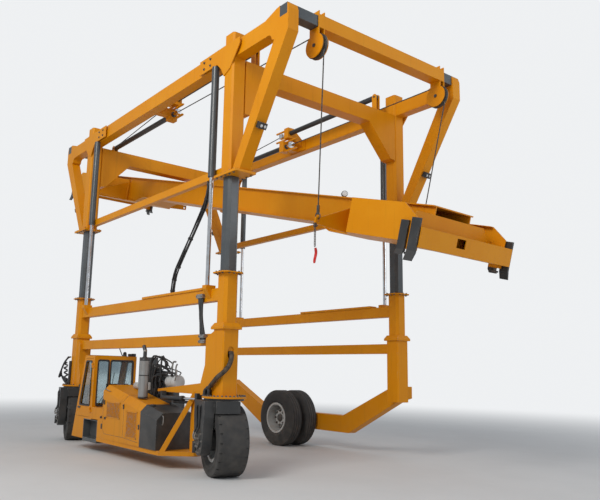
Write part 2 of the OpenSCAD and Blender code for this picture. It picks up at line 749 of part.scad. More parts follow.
// Hoist cylinders: base eye at one end of the machine, rod head in the middle. s = -1 is rear-mounted.
hoist_rod_d = 60;
hoist_pin_d = 40;
head_x = 130;
module at_hoist(s) {
  for (t = ends) translate([0, t * hoist_y, s > 0 ? hoist_z_high : hoist_z_low]) scale([-s, 1, 1]) children();
}
module hoist_barrels() {
  color(black) for (s = ends) at_hoist(s) {
    difference() {
      translate([-hoist_eye_x + 70, 0, 0]) rotate([0, 90, 0]) cylinder(d = hoist_d, h = hoist_eye_x - 70);
      translate([-hoist_eye_x + 130, 0, 0]) rotate([0, 90, 0]) cylinder(d = hoist_rod_d + 2, h = hoist_eye_x);
    }
    slab(-30, 30) {
      translate([-hoist_eye_x, 0]) circle(r = 45);
      translate([-hoist_eye_x, -30]) square([90, 60]);
    }
    translate([-hoist_eye_x, 60, 0]) rotate([90, 0, 0]) cylinder(d = hoist_pin_d, h = 120);
  }
}

module hoist_rods(s) {
  color(chrome) at_hoist(s) {
    translate([-hoist_stroke - 250, 0, 0]) rotate([0, 90, 0]) cylinder(d = hoist_rod_d, h = hoist_stroke + 250 + head_x);
    translate([head_x + 50, 0, 0]) cube([110, 90, 100], center = true);
  }
}

// Brackets that hold the heads of the hoist cylinders, with horns that guard the rod heads
module hoist_brackets() {
  y1 = hoist_in - side_w / 2 - fit;
  color(yellow) both_sides() {
    translate([0, side_w / 2 + fit, 0]) box([-260, 0, side_z + 20], [260, 20, side_top - 10]);
    // Blocks round the heads and their arms, drawn for s = -1 and mirrored for the other end
    for (s = ends) scale([-s, 1, 1]) translate([0, hoist_in, s > 0 ? hoist_z_high : hoist_z_low]) {
      difference() {
        box([-160, -90, -125], [-10, 90, 125]);
        translate([-161, 0, 0]) rotate([0, 90, 0]) cylinder(d = hoist_d + 2 * fit, h = 200);
      }
      for (e = ends) box([-20, -20, e * 110 - 15], [380, 20, e * 110 + 15]);
      if (s < 0) box([-160, -y1 + 10, -50], [-10, -89, 110]);
      else wall(-160, -10) polygon([[-y1 + 10, -260], [-89, -120], [-89, 110], [-y1 + 10, -95]]);
    }
  }
}

// Sliding sleeve that rides on a slide beam and carries two pairs of cheeks
sleeve_gap = 5;
module sliding_sleeve(s, y) {
  i = slide_w / 2 + sleeve_gap;
  o = i + shell_t;
  zc = slide_foot + slide_w / 2;
  color(yellow) translate([s * slide_x, y, 0]) difference() {
    union() {
      box([-o, -sheave_span / 2 - 60, zc - o], [o, sheave_span / 2 + 60, zc + o]);
      for (t = ends, c = ends) translate([0, t * sheave_span / 2 + c * (sheave_w / 2 + 20), 0]) slab(-8, 8) {
        translate([-o, sheave_z]) square([2 * o, zc + o + 60 - sheave_z]);
        translate([0, sheave_z]) circle(r = sheave_d / 2 - 10);
      }
    }
    box([-i, -sheave_span, zc - i], [i, sheave_span, zc + slide_w / 2 + fit]);
    translate([0, sheave_span, sheave_z]) rotate([90, 0, 0]) cylinder(d = pin_d + 2 * fit, h = 2 * sheave_span);
  }
}

// Two grooved sheaves and their pins on one axis
pin_d = 60;
groove = 24;
module sheaves(s, y) {
  r = sheave_d / 2;
  color(black) translate([s * slide_x, y, sheave_z]) for (t = ends) translate([0, t * sheave_span / 2, 0]) rotate([90, 0, 0]) {
    rotate_extrude($fn = 72) polygon([[0, -sheave_w / 2], [r, -sheave_w / 2], [r - groove, -14], [r - groove, 14],
      [r, sheave_w / 2], [0, sheave_w / 2]]);
    cylinder(d = pin_d, h = 150, center = true);
  }
}

// Spreader frame: x, y, z in the pitched and yawed frame of the hanging load
module in_load() {
  translate([load_x, load_y, load_z]) rotate([0, load_pitch, load_yaw]) children();
}
function load_pt(p) = let (
  c = cos(load_pitch), s = sin(load_pitch), cy = cos(load_yaw), sy = sin(load_yaw),
  a = [c * p.x + s * p.z, p.y, -s * p.x + c * p.z])
  [load_x + cy * a.x - sy * a.y, load_y + sy * a.x + cy * a.y, load_z + a.z];

half_l = spreader_l / 2;
half_w = spreader_w / 2;
flange_w = beam_w / 2;
web_y = flange_w - 60;
module spreader_beam() {
  foot = [[-beam_half, end_foot], [-3700, end_foot], [-3300, beam_foot], [3300, beam_foot], [3700, end_foot], [beam_half, end_foot]];
  lifted = [for (i = [5 : -1 : 0]) foot[i] + [0, web_t]];
  color(yellow) in_load() {
    slab(-flange_w, flange_w) polygon(concat(foot, lifted));
    box([-beam_half, -flange_w, beam_top - web_t], [beam_half, flange_w, beam_top]);
    for (t = ends) slab(t * web_y - (t > 0 ? web_t : 0), t * web_y + (t > 0 ? 0 : web_t))
      polygon(concat([for (p = foot) p + [0, web_t - 1]], [[beam_half, beam_top - web_t + 1], [-beam_half, beam_top - web_t + 1]]));
  }
}

// End frame drawn towards +x: floor, side webs, diagonal plates, arm, back web, cross tube and lifting lugs
web_out = half_w - 50;
end_knee = 4744;
cross_x = [half_l - 96, half_l + 108];
cross_zs = [74, 364];
lock_x = half_l - 103.5;
lock_y = half_w - 89.5;
lock_foot = 25;
module end_frame() {
  b = flange_w;
  translate([0, 0, end_foot]) linear_extrude(web_t) polygon([[beam_half + fit, -b], [end_knee, -web_out], [cross_x[0] + 1, -web_out],
    [cross_x[0] + 1, web_out], [end_knee, web_out], [beam_half + fit, b]]);
  box([beam_half + fit, -b, beam_top - web_t], [cross_x[0] - 180, b, beam_top]);
  for (t = ends) scale([1, t, 1]) {
    slab(web_out - web_t, web_out) polygon([[end_knee, end_foot], [cross_x[0] + 74, end_foot], [cross_x[0] + 74, end_top - 195],
      [cross_x[0] - 196, end_top], [end_knee, end_top]]);
    box([end_knee, web_out - 110, end_top - 12], [cross_x[0] - 196, web_out, end_top]);
    box([beam_half + fit, web_y - web_t, end_foot + 1], [cross_x[0] - 180, web_y, beam_top - 1]);
    translate([0, 0, end_foot]) linear_extrude(end_top - end_foot)
      polygon([[beam_half + fit, b], [end_knee, web_out], [end_knee + 20, web_out - 2], [end_knee + 20, web_out - 32], [beam_half + fit, b - 32]]);
    // Lug with its eye
    difference() {
      wall(eye_x - lug_t / 2, eye_x + lug_t / 2) polygon([[web_y - 1, end_foot + 1], [eye_y + 60, eye_z - 60], [eye_y + 60, eye_z + 35],
        [eye_y + 25, eye_z + 60], [eye_y - 60, eye_z + 60], [web_y - 1, beam_top - 120]]);
      translate([eye_x - 20, eye_y, eye_z]) rotate([0, 90, 0]) cylinder(d = eye_d, h = 40);
    }
  }
  wall(cross_x[0] - 200, cross_x[0] - 180) polygon([[-web_out + 1, end_foot], [web_out - 1, end_foot], [web_out - 1, 440], [1020, 444],
    [860, 620], [-860, 620], [-1020, 444], [-web_out + 1, 440]]);
  // Housings of the twistlocks, under the floor and the cross tube
  for (t = ends) scale([1, t, 1]) {
    box([lock_x - 85, lock_y - 85, lock_foot], [cross_x[0] + 1, web_out, end_foot + 1]);
    box([lock_x - 85, lock_y - 85, lock_foot], [lock_x + 85, web_out, cross_zs[0] + 1]);
  }
  // Cross tube, open at its ends, with a small window in its outer face
  difference() {
    box([cross_x[0], -web_out - 20, cross_zs[0]], [cross_x[1], web_out + 20, cross_zs[1]]);
    box([cross_x[0] + 16, -half_w, cross_zs[0] + 16], [cross_x[1] - 16, half_w, cross_zs[1] - 16]);
    box([cross_x[1] - 20, -320, 184], [cross_x[1] + 1, -100, 324]);
  }
}
eye_d = 60;
lug_t = 30;

module spreader_end(s) {
  color(yellow) in_load() scale([s, 1, 1]) end_frame();
}

// Guide flippers at the corners: a pair on each end of the end frames. Columns: x from, x to, y, foot, head
guides = [[cross_x[0] - 170, cross_x[0] - 30, web_out, -66, 434], [cross_x[0] + 34, cross_x[0] + 184, web_out + 20, -136, 484]];
module corner_guides() {
  color(black) in_load() for (s = ends, t = ends) scale([s, t, 1]) for (g = guides)
    wall(g[0], g[1]) translate([g[2] + fit, 0]) polygon([[0, g[4]], [40, g[4]], [40, 10], [75, g[3]], [60, g[3]], [0, -10]]);
}

module twistlocks() {
  color(slate) in_load() for (s = ends, t = ends) translate([s * lock_x, t * lock_y, 0]) {
    translate([0, 0, -21]) cylinder(d = 56, h = lock_foot + 21 - fit);
    box([-50, -28, -50], [50, 28, -20]);
  }
}

// Hoist ropes: each leaves its sheave's groove at a tangent, clears the flanges in the sheave's own plane, and from
// there leans to the eye of a lug, where a ring and a socket take it
ring_r = 52;
ring_bar = 18;
socket_l = 120;
rope_lead = 110; // length from the tangent point down to the place where the rope starts to lean
function sheave_mid(s, t) = [s * slide_x, (s > 0 ? shift_front : shift_rear) + t * sheave_span / 2, sheave_z];
function load_dir(p) = load_pt(p) - load_pt([0, 0, 0]);
// Sideways lean of a ring in its eye, towards its sheave
function ring_lean(s, t) = let (v = sheave_mid(s, t) - load_pt([s * eye_x, t * eye_y, eye_z]))
  atan2(-(v * load_dir([0, 1, 0])), v * load_dir([0, 0, 1]));
function ring_mid(s, t) = let (
  d = eye_d / 2 - fit + sqrt(pow(ring_r - ring_bar / 2, 2) - pow(lug_t / 2, 2)), a = ring_lean(s, t))
  load_pt([s * eye_x, t * eye_y - d * sin(a), eye_z + d * cos(a)]);
function rope_top(s, t) = let (
  c = sheave_mid(s, t), m = ring_mid(s, t),
  r = sheave_d / 2 - groove + rope_d / 2 + fit,
  a = atan2(m.z - c.z, s * (m.x - c.x)) + acos(r / norm([m.x - c.x, m.z - c.z])))
  c + [s * r * cos(a), 0, r * sin(a)];
function rope_knee(s, t) = let (a = rope_top(s, t), m = ring_mid(s, t), v = [m.x - a.x, 0, m.z - a.z]) a + v * rope_lead / norm(v);
function on_line(a, b, l) = a + (b - a) * l / norm(b - a);
module lift_hooks() {
  color(slate) for (s = ends, t = ends) {
    m = ring_mid(s, t);
    translate(m) rotate([0, load_pitch, load_yaw]) rotate([90 + ring_lean(s, t), 0, 0]) rotate_extrude() translate([ring_r, 0]) circle(d = ring_bar);
    bar(on_line(m, rope_knee(s, t), ring_r - 30), on_line(m, rope_knee(s, t), ring_r + socket_l), 50);
  }
}
module ropes(s) {
  color(slate) for (t = ends) {
    bar(on_line(ring_mid(s, t), rope_knee(s, t), ring_r + socket_l + fit), rope_knee(s, t), rope_d);
    translate(rope_knee(s, t)) sphere(d = rope_d + 3);
    bar(rope_knee(s, t), rope_top(s, t), rope_d);
  }
}

// Far side: lower legs joined by a trough-shaped beam that carries the twin wheel's axle
twin_w_all = 2 * twin_w + twin_gap;
twin_y = 1690;
trough = [leg_y - twin_y - twin_w_all / 2 - 220, leg_y - twin_y - twin_w_all / 2 - 20];
axle_d = 120;
module lower_frame_far() {
  color(yellow) far_side() {
    for (s = ends) scale([s, 1, 1]) translate([leg_x, 0, 0]) leg_sleeve(leg_foot - 130);
    difference() {
      slab(trough[0], trough[1]) for (s = ends) scale([s, 1])
        polygon([[0, 360], [1500, 360], [leg_x - 40, leg_foot - 100], [leg_x + 100, leg_foot - 60], [leg_x + 100, leg_foot + 160],
          [leg_x - 200, leg_foot + 160], [1330, 700], [0, 700]]);
      for (s = ends) translate([s * leg_x, 0, 0]) tube(low_in, leg_chamfer - 5, leg_foot - 125, collar_z);
    }
    translate([0, trough[1] - 1, twin_d / 2]) rotate([-90, 0, 0]) cylinder(d = axle_d, h = twin_w_all / 2 + 20);
    rail(rail_w, low_rail_z, low_rail_h, low_out);
  }
}

module tyre_far() {
  color(black) for (t = ends) translate([0, twin_y + t * (twin_w + twin_gap) / 2, twin_d / 2]) tyre(twin_d, twin_w, 30, 40, 0);
}

// Twin rim on the far axle, its star-shaped hub at the inner face
module rim_far() {
  r = rim_d / 2 - fit;
  w = twin_w_all / 2 - 10;
  color(pale) translate([0, twin_y, twin_d / 2]) rotate([90, 0, 0]) {
    rotate_extrude($fn = 72) polygon([[r - 40, -w], [r, -w], [r, w], [r - 40, w], [r - 40, 30], [axle_d / 2 + fit, 30], [axle_d / 2 + fit, -30], [r - 40, -30]]);
    translate([0, 0, 29]) cylinder(d = 250, h = 180);
    translate([0, 0, 180]) linear_extrude(40) {
      circle(d = 300);
      for (i = [0 : 7]) rotate(i * 45) translate([150, 0]) circle(d = 80, $fn = 24);
    }
  }
}

// Work lamps on the outer faces of the struts
lamp_z = 5350;
module work_lamps() {
  d = [strut_top.x - strut_foot.x, strut_top.y - strut_foot.y];
  u = (lamp_z - strut_foot.y) / d.y;
  a = atan2(d.x, d.y);
  color(black) both_sides() for (s = ends) scale([s, 1, 1]) translate([strut_foot.x + u * d.x, 0, lamp_z]) rotate([0, a, 0])
    box([fit, -70, -50], [95, 70, 50]);
}

// Hose bundle from the tie down to the tray on the middle rail: a slanted run between two bends
hose_d = 95;
hose_x = 2250;
hose_reach = 1100;
hose_bend = 40;
module hose_bundle() {
  fall = tie_z - mid_rail_top - tray_rim - 2 * fit;
  r = (fall * tan(hose_bend) - hose_reach) / (sin(hose_bend) * tan(hose_bend) - 1 + cos(hose_bend)) / 2;
  run = (fall - 2 * r * sin(hose_bend)) / cos(hose_bend);
  color(black) translate([hose_x - hose_reach / 2, -leg_y, tie_z - fit - fall / 2]) rotate([0, hose_bend, 0]) {
    translate([0, 0, -run / 2]) cylinder(d = hose_d, h = run);
    for (e = [0, 180]) rotate([0, e, 0]) translate([-r, 0, run / 2]) rotate([90, 0, 0])
      rotate_extrude(angle = hose_bend) translate([r, 0]) circle(d = hose_d);
  }
}

lower_frame_near();
cab_shell();
cab_glass();
driver_seat();
cab_door();
door_glass();
engine_cover();
cab_deck();
engine_block();
exhaust();
fuel_tank();
cab_steps();
at_fork(1) fork_body();  // fork_front
at_fork(-1) fork_body();  // fork_rear
near_tyre(1);  // tyre_front
near_rim(1);  // rim_front
near_tyre(-1);  // tyre_rear
near_rim(-1);  // rim_rear
near_side() mid_frame();  // mid_frame_near
near_side() lift_rods();  // lift_rods_near
near_side() side_frame();  // side_frame_near
far_side() side_frame();  // side_frame_far
cross_beams();
leg_columns();
lift_barrels();
slide_beams();
hoist_barrels();
hoist_brackets();
hoist_rods(-1);  // hoist_rods_low
hoist_rods(1);  // hoist_rods_high
sliding_sleeve(1, shift_front);  // sleeve_front
sliding_sleeve(-1, shift_rear);  // sleeve_rear
sheaves(1, shift_front);  // sheaves_front
sheaves(-1, shift_rear);  // sheaves_rear
ropes(1);  // ropes_front
ropes(-1);  // ropes_rear
spreader_beam();
spreader_end(1);  // spreader_end_front
spreader_end(-1);  // spreader_end_rear
corner_guides();
twistlocks();
lift_hooks();
far_side() mid_frame();  // mid_frame_far
far_side() lift_rods();  // lift_rods_far
lower_frame_far();
tyre_far();
rim_far();
work_lamps();
hose_bundle();
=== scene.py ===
# %% [markdown]
# # A straddle carrier, dressed over its CAD frame
# The machine stands on three wheel sets: two steered forks under the cab side and one twin wheel far away.
# Its solids come from the imported CAD model, already in place and in metres.
# This file gives every solid a painted, rubber, steel or glass surface, and adds what the solids leave out:
# rope runs, hose strands, tyre sidewalls, bolts, cab fittings, lamps and the chain under a lug.

# %% Load the frame, with a helper that measures its size
import math
import random

import bmesh
import bpy
from mathutils import Matrix, Vector


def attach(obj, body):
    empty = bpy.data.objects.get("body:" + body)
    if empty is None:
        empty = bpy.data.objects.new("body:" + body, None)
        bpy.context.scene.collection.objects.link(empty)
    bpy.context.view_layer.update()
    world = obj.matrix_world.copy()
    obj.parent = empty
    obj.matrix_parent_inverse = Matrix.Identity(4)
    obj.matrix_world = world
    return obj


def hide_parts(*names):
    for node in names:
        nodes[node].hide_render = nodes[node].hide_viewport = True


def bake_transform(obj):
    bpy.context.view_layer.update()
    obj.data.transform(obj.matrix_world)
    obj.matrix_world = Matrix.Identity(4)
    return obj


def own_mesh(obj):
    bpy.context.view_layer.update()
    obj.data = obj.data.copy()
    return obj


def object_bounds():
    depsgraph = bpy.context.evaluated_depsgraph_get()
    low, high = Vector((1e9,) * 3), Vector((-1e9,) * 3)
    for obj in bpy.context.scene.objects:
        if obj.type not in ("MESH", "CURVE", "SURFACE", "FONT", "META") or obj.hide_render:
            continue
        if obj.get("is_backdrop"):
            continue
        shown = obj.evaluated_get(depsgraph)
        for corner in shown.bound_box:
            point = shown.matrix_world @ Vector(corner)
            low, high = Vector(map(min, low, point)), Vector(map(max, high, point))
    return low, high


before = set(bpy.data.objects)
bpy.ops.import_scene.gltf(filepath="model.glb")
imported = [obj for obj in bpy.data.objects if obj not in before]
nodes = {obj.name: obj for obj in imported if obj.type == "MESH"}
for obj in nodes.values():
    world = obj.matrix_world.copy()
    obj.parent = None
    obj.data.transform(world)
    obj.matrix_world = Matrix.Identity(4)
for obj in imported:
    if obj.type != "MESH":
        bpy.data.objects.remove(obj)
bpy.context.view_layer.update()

# %% [markdown]
# The sizes below repeat the ones that the solids were drawn with.
# Every added piece is placed from them, so it sits on its own solid.

# %% Sizes shared by many pieces
# Half the wheelbase and half the track, the parked steering angle, and the faces of rings and flanges
LEG_X, LEG_Y = 2.92, 1.975
STEER = math.radians(-16)
RING_TOP, MIDDLE_FLANGE, TOP_FLANGE = 1.18, (3.08, 3.10), (4.66, 4.70)
# Wheels: outer radius, width, rim radius, and how far the near wheels stand in from their legs
TYRE_R, TYRE_W, RIM_R, WHEEL_IN = 0.53, 0.475, 0.32, 0.022
TWIN_Y, TWIN_R, TWIN_W, TWIN_GAP = 1.69, 0.585, 0.30, 0.11
# Cab: outer face, width, front wall, rake of the rear wall, floor and roof
BODY_Y, CAB_W, CAB_X1, CAB_RAKE = -2.5, 0.89, -0.85, 0.44
FLOOR_Z, CAB_TOP = 0.21, 1.8
# Engine cover: its ends, the top of its side at each end, and the chamfer above that
HOOD_X0, HOOD_X1, HOOD_Z0, HOOD_Z1, HOOD_EDGE = -0.34, 1.2, 1.145, 0.86, 0.11
# Hoist: sliding sleeves, sheaves, ropes and rod heads, and where the spreader hangs
SLIDE_X, SHEAVE_Z, SHEAVE_SPAN, SHIFT = 4.33, 6.6, 2.96, {1: 0.09, -1: 0.10}
SHEAVE_R, GROOVE, ROPE_D, HOIST_Y = 0.21, 0.024, 0.02, 1.51
HEAD_X, HEAD_Z, PARTING_X = 0.19, {1: 6.77, -1: 7.06}, 1.95
LUG_X, LUG_Y, LUG_Z = 4.224, 1.32, 0.25
LOAD_AT, LOAD_YAW, LOAD_PITCH = (-0.433, 0.283, 4.81), math.radians(2.6), math.radians(14.6)
LOAD = Matrix.Translation(LOAD_AT) @ Matrix.Rotation(LOAD_YAW, 4, "Z") @ Matrix.Rotation(LOAD_PITCH, 4, "Y")


def in_load(x, y, z):
    """A point of the pitched and yawed spreader, in the machine's frame."""
    return LOAD @ Vector((x, y, z))


print("spreader's front lock at", [round(v, 3) for v in in_load(5.99, -1.13, 0)])

# %% [markdown]
# Meshes are made in code. One helper turns a finished mesh into an object,
# smooths the faces that meet at a shallow angle, and lets the piece ride on its moving body.

# %% Make a piece from a mesh
def add_piece(name, bm, material, body=None, smooth=40):
    """Turns a bmesh into an object of one material; smooth is the angle below which faces shade as one."""
    bmesh.ops.remove_doubles(bm, verts=bm.verts, dist=1e-6)
    bmesh.ops.recalc_face_normals(bm, faces=bm.faces)
    mesh = bpy.data.meshes.new(name)
    bm.to_mesh(mesh)
    bm.free()
    obj = bpy.data.objects.new(name, mesh)
    bpy.context.scene.collection.objects.link(obj)
    mesh.materials.append(material)
    mesh.shade_smooth()
    mesh.set_sharp_from_angle(angle=math.radians(smooth))
    if body:
        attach(obj, body)
    return obj


# %% Basic shapes that join into one mesh
def block(bm, low, high, matrix=Matrix.Identity(4), bevel=0.0):
    """Box between two corners, its edges rounded by bevel."""
    low, high = Vector(low), Vector(high)
    made = bmesh.ops.create_cube(bm, size=1)["verts"]
    bmesh.ops.scale(bm, vec=high - low, verts=made)
    bmesh.ops.translate(bm, vec=(low + high) / 2, verts=made)
    if bevel:
        edges = {e for v in made for e in v.link_edges}
        out = bmesh.ops.bevel(bm, geom=list(edges), offset=bevel, segments=2, affect="EDGES", profile=0.6)
        made = list({v for v in out["verts"] + [v for v in made if v.is_valid]})
    bmesh.ops.transform(bm, matrix=matrix, verts=made)


def turning(axis, at):
    """Matrix that turns +Z to axis and moves the origin to at."""
    return Matrix.Translation(at) @ Vector(axis).to_track_quat("Z", "Y").to_matrix().to_4x4()


def drum(bm, at, axis, radius, length, sides=24, top=None, bevel=0.0):
    """Cylinder, cone or prism from at along axis; top is its other end's radius."""
    matrix = turning(axis, at) @ Matrix.Translation((0, 0, length / 2))
    top = radius if top is None else top
    made = bmesh.ops.create_cone(bm, cap_ends=True, segments=sides, radius1=radius, radius2=top,
                                 depth=length)["verts"]
    if bevel:
        rim = {e for v in made for e in v.link_edges if abs(e.verts[0].co.z - e.verts[1].co.z) < 1e-6}
        out = bmesh.ops.bevel(bm, geom=list(rim), offset=bevel, segments=2, affect="EDGES", profile=0.6)
        made = list({v for v in out["verts"] + [v for v in made if v.is_valid]})
    bmesh.ops.transform(bm, matrix=matrix, verts=made)


def lathe(bm, profile, at, axis, steps=64, closed=True):
    """Turns a profile of (radius, height) points round an axis."""
    matrix = turning(axis, at)
    rings = []
    for k in range(steps):
        a = 2 * math.pi * k / steps
        rings.append([bm.verts.new(matrix @ Vector((r * math.cos(a), r * math.sin(a), h))) for r,
                      h in profile])
    count = len(profile) if closed else len(profile) - 1
    for k in range(steps):
        a, b = rings[k], rings[(k + 1) % steps]
        for i in range(count):
            j = (i + 1) % len(profile)
            bm.faces.new((a[i], b[i], b[j], a[j]))


def band(bm, at, axis, radii, heights, steps):
    """Ring of rectangular section, between two radii and two heights along axis."""
    (inner, outer), (low, high) = radii, heights
    lathe(bm, [(inner, low), (outer, low), (outer, high), (inner, high)], at, axis, steps)


def sweep(bm, points, radius, sides=10):
    """Round tube along a line of points, with flat ends."""
    points = [Vector(p) for p in points]
    side = None
    rings = []
    for i, p in enumerate(points):
        ahead = (points[min(i + 1, len(points) - 1)] - points[max(i - 1, 0)]).normalized()
        if side is None:
            side = ahead.orthogonal().normalized()
        side = (side - ahead * side.dot(ahead)).normalized()
        other = ahead.cross(side)
        rings.append([bm.verts.new(p + radius * (math.cos(a) * side + math.sin(a) * other))
                      for a in (2 * math.pi * k / sides for k in range(sides))])
    for a, b in zip(rings, rings[1:]):
        for k in range(sides):
            bm.faces.new((a[k], a[(k + 1) % sides], b[(k + 1) % sides], b[k]))
    bm.faces.new(rings[0][::-1])
    bm.faces.new(rings[-1])


def smooth_line(points, steps=8):
    """A curve through all the points, as a longer list of points."""
    p = [Vector(q) for q in points]
    p = [2 * p[0] - p[1]] + p + [2 * p[-1] - p[-2]]
    line = []
    for a, b, c, d in zip(p, p[1:], p[2:], p[3:]):
        for k in range(steps):
            t = k / steps
            square, cube = 2 * a - 5 * b + 4 * c - d, 3 * b - a - 3 * c + d
            line.append(0.5 * (2 * b + (c - a) * t + square * t * t + cube * t ** 3))
    return line + [p[-2]]


print("shape helpers ready")

# %% [markdown]
# ## Surfaces
# Every finish needs the same few effects: patches where paint has faded, dust that settles low down and
# on ledges, dirt that rain drags down the sides, and bright metal where edges rub. Each effect is one
# node group with named inputs, used again in each material with other values.

# %% Helpers for shader nodes
def place(tree, kind, links=None, **values):
    """Adds a shader node. Values set its properties or inputs, and links join inputs to other sockets."""
    node = tree.nodes.new(kind)
    for key, value in values.items():
        if hasattr(node, key):
            setattr(node, key, value)
        else:
            node.inputs[key.replace("_", " ")].default_value = value
    for key, socket in (links or {}).items():
        tree.links.new(socket, node.inputs[key])
    return node


def start_group(name, inputs, outputs):
    """New shader node group; inputs hold (name, socket type, default)."""
    group = bpy.data.node_groups.new(name, "ShaderNodeTree")
    for label, kind, default in inputs:
        group.interface.new_socket(name=label, in_out="INPUT", socket_type=kind).default_value = default
    for label, kind in outputs:
        group.interface.new_socket(name=label, in_out="OUTPUT", socket_type=kind)
    return group, group.nodes.new("NodeGroupInput"), group.nodes.new("NodeGroupOutput")


def math_node(tree, operation, a, b=None, clamp=False):
    """Math node on two values or sockets."""
    node = place(tree, "ShaderNodeMath", operation=operation, use_clamp=clamp)
    for index, value in enumerate(v for v in (a, b) if v is not None):
        if isinstance(value, (int, float)):
            node.inputs[index].default_value = value
        else:
            tree.links.new(value, node.inputs[index])
    return node.outputs[0]


FLOAT, VECTOR = "NodeSocketFloat", "NodeSocketVector"
print("node helpers ready")

# %% Patches: slow, cloudy changes over a surface
patches, into, out = start_group("patches", [("Scale", FLOAT, 1.5), ("From", FLOAT, 0.42),
                                             ("To", FLOAT, 0.62)], [("Mask", FLOAT)])
where = place(patches, "ShaderNodeTexCoord")
cloud = place(patches, "ShaderNodeTexNoise", {"Vector": where.outputs["Object"],
                                              "Scale": into.outputs["Scale"]}, Detail=6.0, Roughness=0.62)
ramp = place(patches, "ShaderNodeMapRange", {"Value": cloud.outputs["Fac"],
                                             "From Min": into.outputs["From"],
                                             "From Max": into.outputs["To"]})
patches.links.new(ramp.outputs["Result"], out.inputs["Mask"])
print("patches group:", len(patches.nodes), "nodes")

# %% [markdown]
# Dust lies on what faces up and thickens towards the ground, where the wheels throw it.
# The mask adds both and breaks them up with the patches.

# %% Dust: low down and on ledges
dust, into, out = start_group("dust", [("Low", FLOAT, 0.2), ("High", FLOAT, 2.2), ("Ledges", FLOAT, 0.5),
                                       ("Spots", FLOAT, 5.0)], [("Mask", FLOAT)])
geometry = place(dust, "ShaderNodeNewGeometry")
place_xyz = place(dust, "ShaderNodeSeparateXYZ", {"Vector": geometry.outputs["Position"]})
facing = place(dust, "ShaderNodeSeparateXYZ", {"Vector": geometry.outputs["Normal"]})
height = place(dust, "ShaderNodeMapRange", {"Value": place_xyz.outputs["Z"],
                                            "From Min": into.outputs["High"],
                                            "From Max": into.outputs["Low"]})
ledge = math_node(dust, "MULTIPLY", math_node(dust, "MAXIMUM", facing.outputs["Z"], 0.0),
                  into.outputs["Ledges"])
spots = place(dust, "ShaderNodeGroup", node_tree=patches)
dust.links.new(into.outputs["Spots"], spots.inputs["Scale"])
spots.inputs["From"].default_value, spots.inputs["To"].default_value = 0.3, 0.75
both = math_node(dust, "ADD", height.outputs["Result"], ledge, clamp=True)
dust.links.new(math_node(dust, "MULTIPLY", both, spots.outputs["Mask"], clamp=True), out.inputs["Mask"])
print("dust group:", len(dust.nodes), "nodes")

# %% Streaks: dirt that rain drags down upright faces
streaks, into, out = start_group("streaks", [("Width", FLOAT, 9.0), ("From", FLOAT, 0.56),
                                             ("To", FLOAT, 0.78)], [("Mask", FLOAT)])
where = place(streaks, "ShaderNodeTexCoord")
stretched = place(streaks, "ShaderNodeMapping", {"Vector": where.outputs["Object"]})
stretched.inputs["Scale"].default_value = (1.0, 1.0, 0.06)
runs = place(streaks, "ShaderNodeTexNoise", {"Vector": stretched.outputs["Vector"],
                                             "Scale": into.outputs["Width"]}, Detail=4.0, Roughness=0.7)
ramp = place(streaks, "ShaderNodeMapRange", {"Value": runs.outputs["Fac"], "From Min": into.outputs["From"],
                                             "From Max": into.outputs["To"]})
streaks.links.new(ramp.outputs["Result"], out.inputs["Mask"])
print("streaks group:", len(streaks.nodes), "nodes")

# %% [markdown]
# Welded plate has soft edges. The bevel node bends the shading normal near an edge, and how far it is bent
# also says where the edge is, so the same node gives the rounding and the place for bare metal.

# %% Edges: rounded shading and a mask for wear
edges, into, out = start_group("edges", [("Radius", FLOAT, 0.006), ("Wear", FLOAT, 0.5)],
                               [("Mask", FLOAT), ("Normal", VECTOR)])
round_off = place(edges, "ShaderNodeBevel", {"Radius": into.outputs["Radius"]}, samples=4)
geometry = place(edges, "ShaderNodeNewGeometry")
bent = place(edges, "ShaderNodeVectorMath", {0: round_off.outputs["Normal"], 1: geometry.outputs["Normal"]},
             operation="DOT_PRODUCT")
turned = math_node(edges, "SUBTRACT", 1.0, bent.outputs["Value"])
chips = place(edges, "ShaderNodeGroup", node_tree=patches)
for key, value in (("Scale", 14.0), ("From", 0.5), ("To", 0.62)):
    chips.inputs[key].default_value = value
worn = math_node(edges, "MULTIPLY", math_node(edges, "MULTIPLY", turned, 9.0), chips.outputs["Mask"])
edges.links.new(math_node(edges, "MULTIPLY", worn, into.outputs["Wear"], clamp=True), out.inputs["Mask"])
edges.links.new(round_off.outputs["Normal"], out.inputs["Normal"])
print("edges group:", len(edges.nodes), "nodes")

# %% [markdown]
# Paint is one recipe: a base colour that drifts to a faded one, dirt streaks, worn edges in a metal or
# primer colour, and dust last, because it lies on everything. A little grain in the bump keeps the gloss
# from looking like plastic.

# %% The paint recipe
DUST = (0.30, 0.27, 0.23, 1)


def mix_colour(tree, mask, a, b):
    """Mix node for colours; a and b are colours or sockets."""
    node = place(tree, "ShaderNodeMix", data_type="RGBA")
    tree.links.new(mask, node.inputs[0])
    for index, value in ((6, a), (7, b)):
        if isinstance(value, tuple):
            node.inputs[index].default_value = value
        else:
            tree.links.new(value, node.inputs[index])
    return node.outputs[2]


def scaled(tree, mask, share):
    """A share of a mask."""
    return math_node(tree, "MULTIPLY", mask, share)


